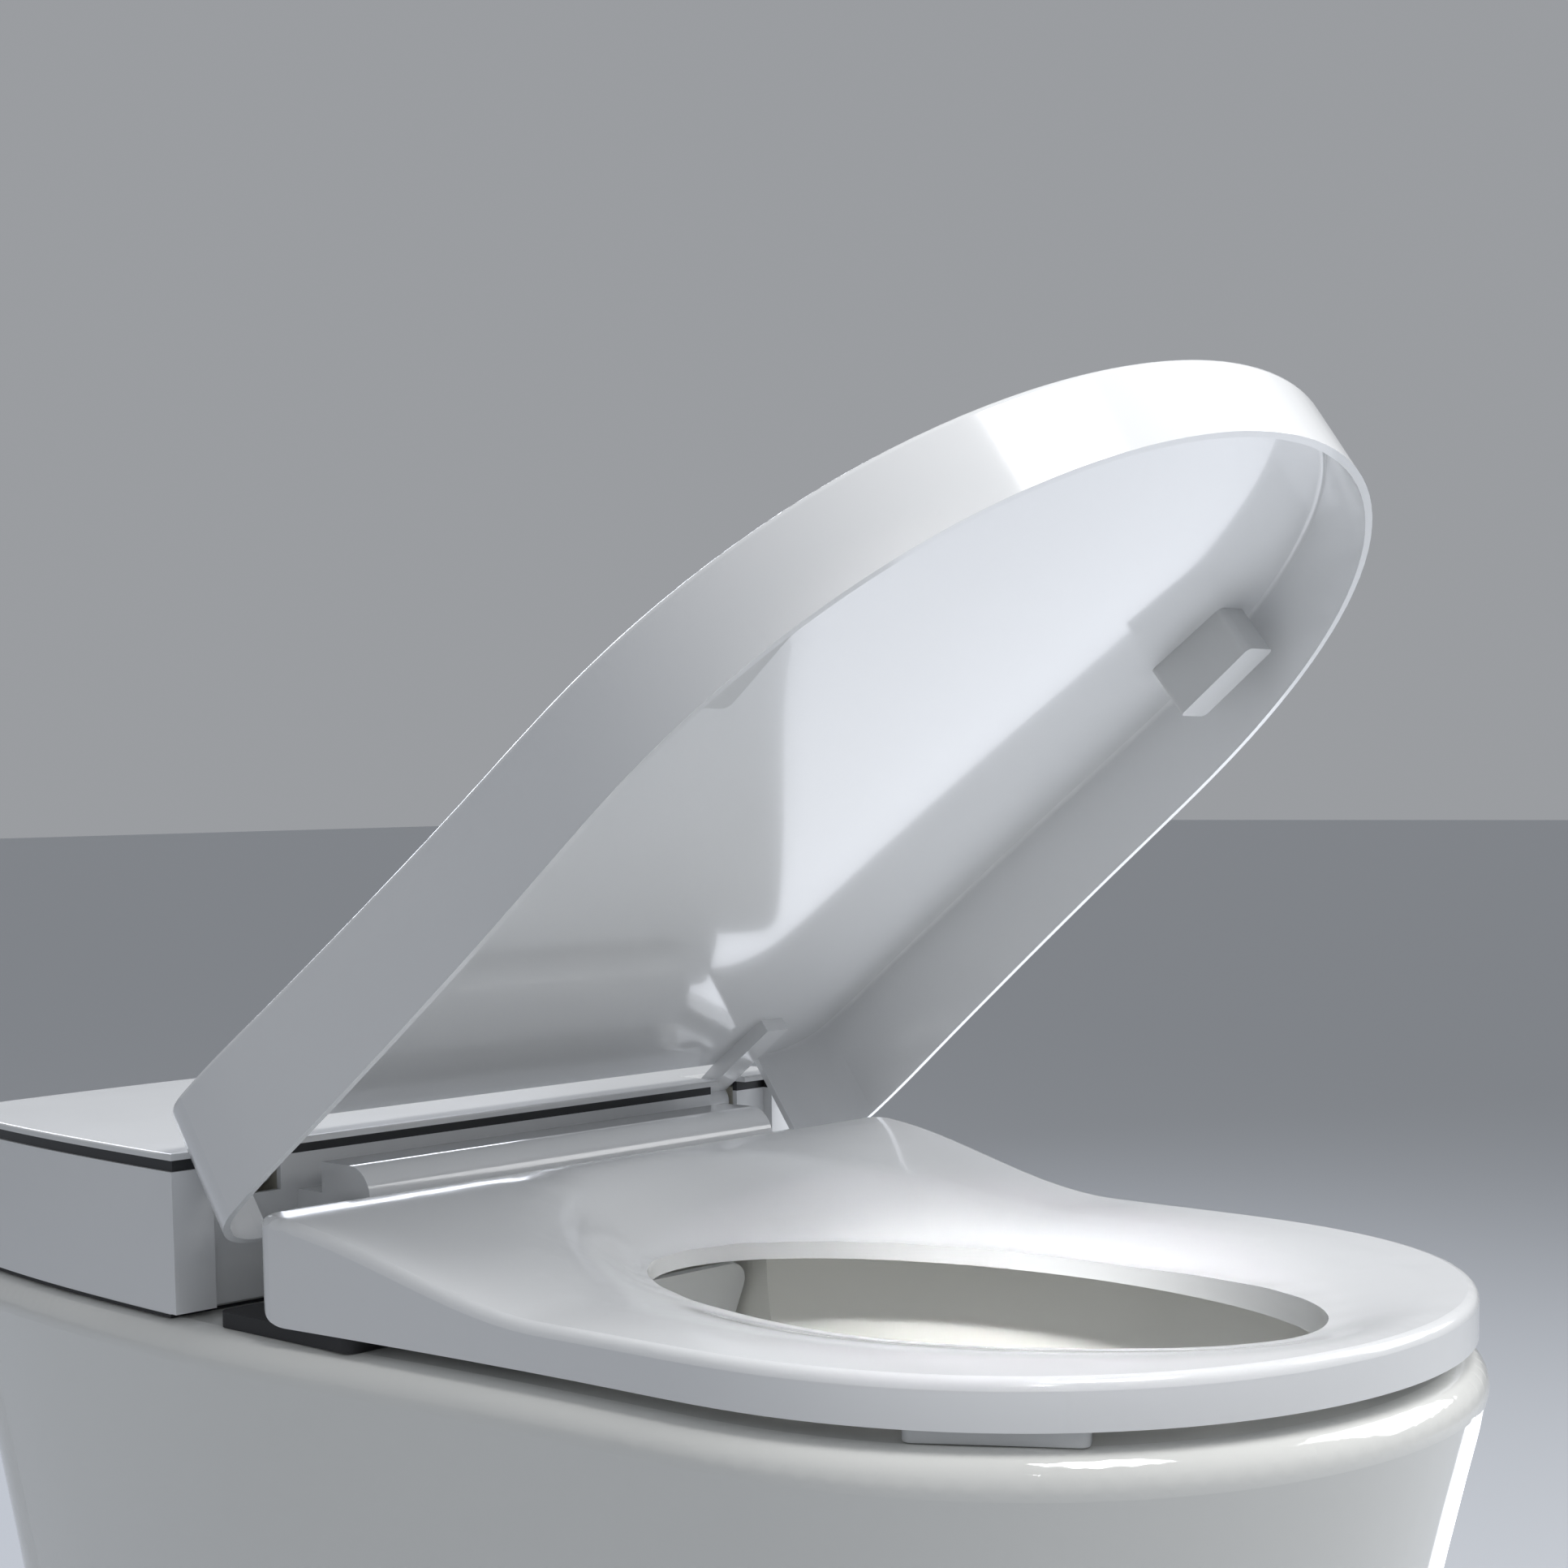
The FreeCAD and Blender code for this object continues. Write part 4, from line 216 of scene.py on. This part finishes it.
def inlet_thread(bm):
    length = inlet_high.y - inlet_low.y
    root = inlet_radius - thread_depth
    profile = [(inlet_bore, 0), (neck_radius, 0), (neck_radius, neck_length), (inlet_radius, neck_length)]
    for turn in range(int((length - collar_end) / thread_pitch)):
        start = collar_end + turn * thread_pitch
        profile += [(inlet_radius, start), (root, start + thread_pitch / 2)]
    profile += [(root, length), (inlet_bore, length)]
    turned_ring(bm, profile, (inlet_centre.x, inlet_low.y, inlet_centre.z), to_rear)


fitting = piece("inlet_thread", inlet_thread, BODY["inlet_fitting"], "brass", thread_smooth_angle)
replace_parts(fitting, "inlet_fitting")


# Controller board
# Chips, connectors and capacitors stand on the board, laid out as on a small washing seat controller.
board_low, board_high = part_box("controller_board")
board_top = board_high.z
chip_rounding, plug_rounding = 0.3 * MM, 0.4 * MM


def on_board(rows, radius):
    """Boxes on the board from rows of x, y, length, width and height in mm, from its front right corner."""
    def build(bm):
        for x, y, length, width, height in rows:
            low = Vector((board_low.x + x * MM, board_low.y + y * MM, board_top))
            rounded_block(bm, low, low + Vector((length, width, height)) * MM, radius)
    return build


# the last two chips are relays
chips = [
    (38, 24, 14, 14, 1.6), (62, 18, 8, 6, 1.5), (62, 32, 8, 6, 1.5), (20, 40, 6, 5, 1.4), (28, 12, 5, 4, 1.2),
    (14, 50, 17, 12, 14), (38, 50, 17, 12, 14),
]
plugs = [
    (8, 3, 16, 6, 8), (30, 3, 11, 6, 8), (48, 3, 11, 6, 8), (66, 3, 21, 6, 8), (90, 20, 6, 16, 8),
    (90, 42, 6, 11, 8),
]
piece("board_chips", on_board(chips, chip_rounding), "base", "gland_nylon")
piece("board_plugs", on_board(plugs, plug_rounding), "base", "nylon")


can_radius, can_shoulder, can_height, can_steps, on_axis = 4 * MM, 0.5 * MM, 11 * MM, 32, 0.0001 * MM
can_places = [(70, 48), (80, 48), (70, 58), (80, 58)]


def capacitors(bm):
    profile = [
        (on_axis, 0), (can_radius, 0), (can_radius, can_height - can_shoulder),
        (can_radius - can_shoulder, can_height), (on_axis, can_height),
    ]
    for x, y in can_places:
        ring = bmesh.new()
        turned_ring(ring, profile, (board_low.x + x * MM, board_low.y + y * MM, board_top), steps=can_steps)
        mesh = bpy.data.meshes.new("capacitor")
        ring.to_mesh(mesh)
        ring.free()
        bm.from_mesh(mesh)
        bpy.data.meshes.remove(mesh)


piece("board_capacitors", capacitors, "base", "motor_steel")


# Filter cartridge
# Slim raised ribs make the air inlet in its outer face, which leans in towards the rear.
def filter_ribs(bm):
    low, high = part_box("deodoriser_cartridge")
    rib, pitch, margin, depth, proud, rounding = 1.6 * MM, 4.4 * MM, 6 * MM, 2.0 * MM, 0.4 * MM, 0.3 * MM
    points = NODES["deodoriser_cartridge"].data.vertices
    outer = [point.co for point in points if point.co.x > high.x - margin]
    front = max(outer, key=lambda point: -point.y).x
    rear = max(outer, key=lambda point: point.y).x
    lean = (rear - front) / (high.y - low.y)
    count = int((high.z - low.z - margin) / pitch)
    start = (low.z + high.z) / 2 - pitch * (count - 1) / 2
    for row in range(count):
        z = start + row * pitch
        rib_low = (front - depth, low.y + margin, z - rib / 2)
        rounded_block(bm, rib_low, (front + proud, high.y - margin, z + rib / 2), rounding)
    for point in bm.verts:
        point.co.x += lean * (point.co.y - low.y)


piece("filter_ribs", filter_ribs, "cartridge", "tank_plastic")


# Floor and lights
# A pale floor under a soft studio light.
# The low light shines up into the lid, and the narrow one into the bowl.
floor_half, floor_roughness, world_strength = 30, 0.6, 0.5
floor_colour, world_colour = "#CDD0D4", "#D3D6DB"
floor_mesh = bpy.data.meshes.new("floor")
bm = bmesh.new()
bmesh.ops.create_grid(bm, x_segments=1, y_segments=1, size=floor_half)
bm.to_mesh(floor_mesh)
bm.free()
floor = bpy.data.objects.new("floor", floor_mesh)
bpy.context.scene.collection.objects.link(floor)
floor_finish = bpy.data.materials.new("pale_floor")
floor_finish.use_nodes = True
floor_shader = floor_finish.node_tree.nodes["Principled BSDF"]
floor_shader.inputs["Base Color"].default_value = colour(floor_colour)
floor_shader.inputs["Roughness"].default_value = floor_roughness
floor_mesh.materials.append(floor_finish)

world = bpy.data.worlds.new("studio")
bpy.context.scene.world = world
world.use_nodes = True
backdrop = world.node_tree.nodes["Background"]
backdrop.inputs["Color"].default_value = colour(world_colour)
backdrop.inputs["Strength"].default_value = world_strength

# name: place, aim, width and height in metres, watts, colour, spread in degrees
SOFTBOXES = {
    "key_light": ((1.6, -1.0, 1.5), (0.0, -0.1, 0.5), 1.2, 1.2, 20, "#FFFFFF", 180),
    "top_light": ((-0.15, -0.8, 1.7), (0.0, -0.2, 0.35), 0.5, 0.5, 11, "#FFFFFF", 180),
    "rear_light": ((0.9, 2.1, 1.5), (0.0, 0.0, 0.5), 1.6, 1.0, 20, "#EEF3FF", 180),
    "low_light": ((0.75, 0.12, 0.05), (0.75, 0.12, 1.0), 0.9, 0.9, 4.2, "#F4F7FF", 180),
    "bowl_light": ((-0.7, -0.9, 1.3), (0.03, -0.14, 0.38), 0.12, 0.12, 0.16, "#FFFFFF", 9),
}
for name, (place, aim, width, height, watts, tint, spread) in SOFTBOXES.items():
    lamp = bpy.data.lights.new(name, "AREA")
    lamp.shape = "RECTANGLE"
    lamp.size, lamp.size_y = width, height
    lamp.energy = watts
    lamp.spread = math.radians(spread)
    lamp.color = colour(tint)[:3]
    made = bpy.data.objects.new(name, lamp)
    bpy.context.scene.collection.objects.link(made)
    made.location = place
    made.rotation_euler = (Vector(aim) - Vector(place)).to_track_quat("-Z", "Y").to_euler()
    made.visible_camera = False


# Camera
# Fitted to the edges of lid, seat and housing in the 1932 pixel square photograph.
azimuth, elevation, roll = math.radians(-47.66), math.radians(5.23), math.radians(-0.77)
target, distance = Vector((57.2, -1.1, 518.4)) * MM, 1233 * MM
image_width, focal_pixels, centre_row = 1932, 3223, 1256
sensor_width, near_clip = 36, 0.05
back = Vector((
    math.sin(azimuth) * math.cos(elevation), -math.cos(azimuth) * math.cos(elevation), math.sin(elevation)
))
right = (-back).cross(Vector((0, 0, 1))).normalized()
up = right.cross(-back)
right, up = math.cos(roll) * right + math.sin(roll) * up, math.cos(roll) * up - math.sin(roll) * right
camera_data = bpy.data.cameras.new("camera")
camera = bpy.data.objects.new("camera", camera_data)
bpy.context.scene.collection.objects.link(camera)
camera_data.sensor_width = sensor_width
camera_data.lens = focal_pixels / image_width * sensor_width
camera_data.shift_y = (centre_row - image_width / 2) / image_width
camera_data.clip_start = near_clip
facing = Matrix((right, up, back)).transposed().to_4x4()
camera.matrix_world = Matrix.Translation(target + back * distance) @ facing
bpy.context.scene.camera = camera
bpy.context.scene.view_settings.view_transform = "Standard"
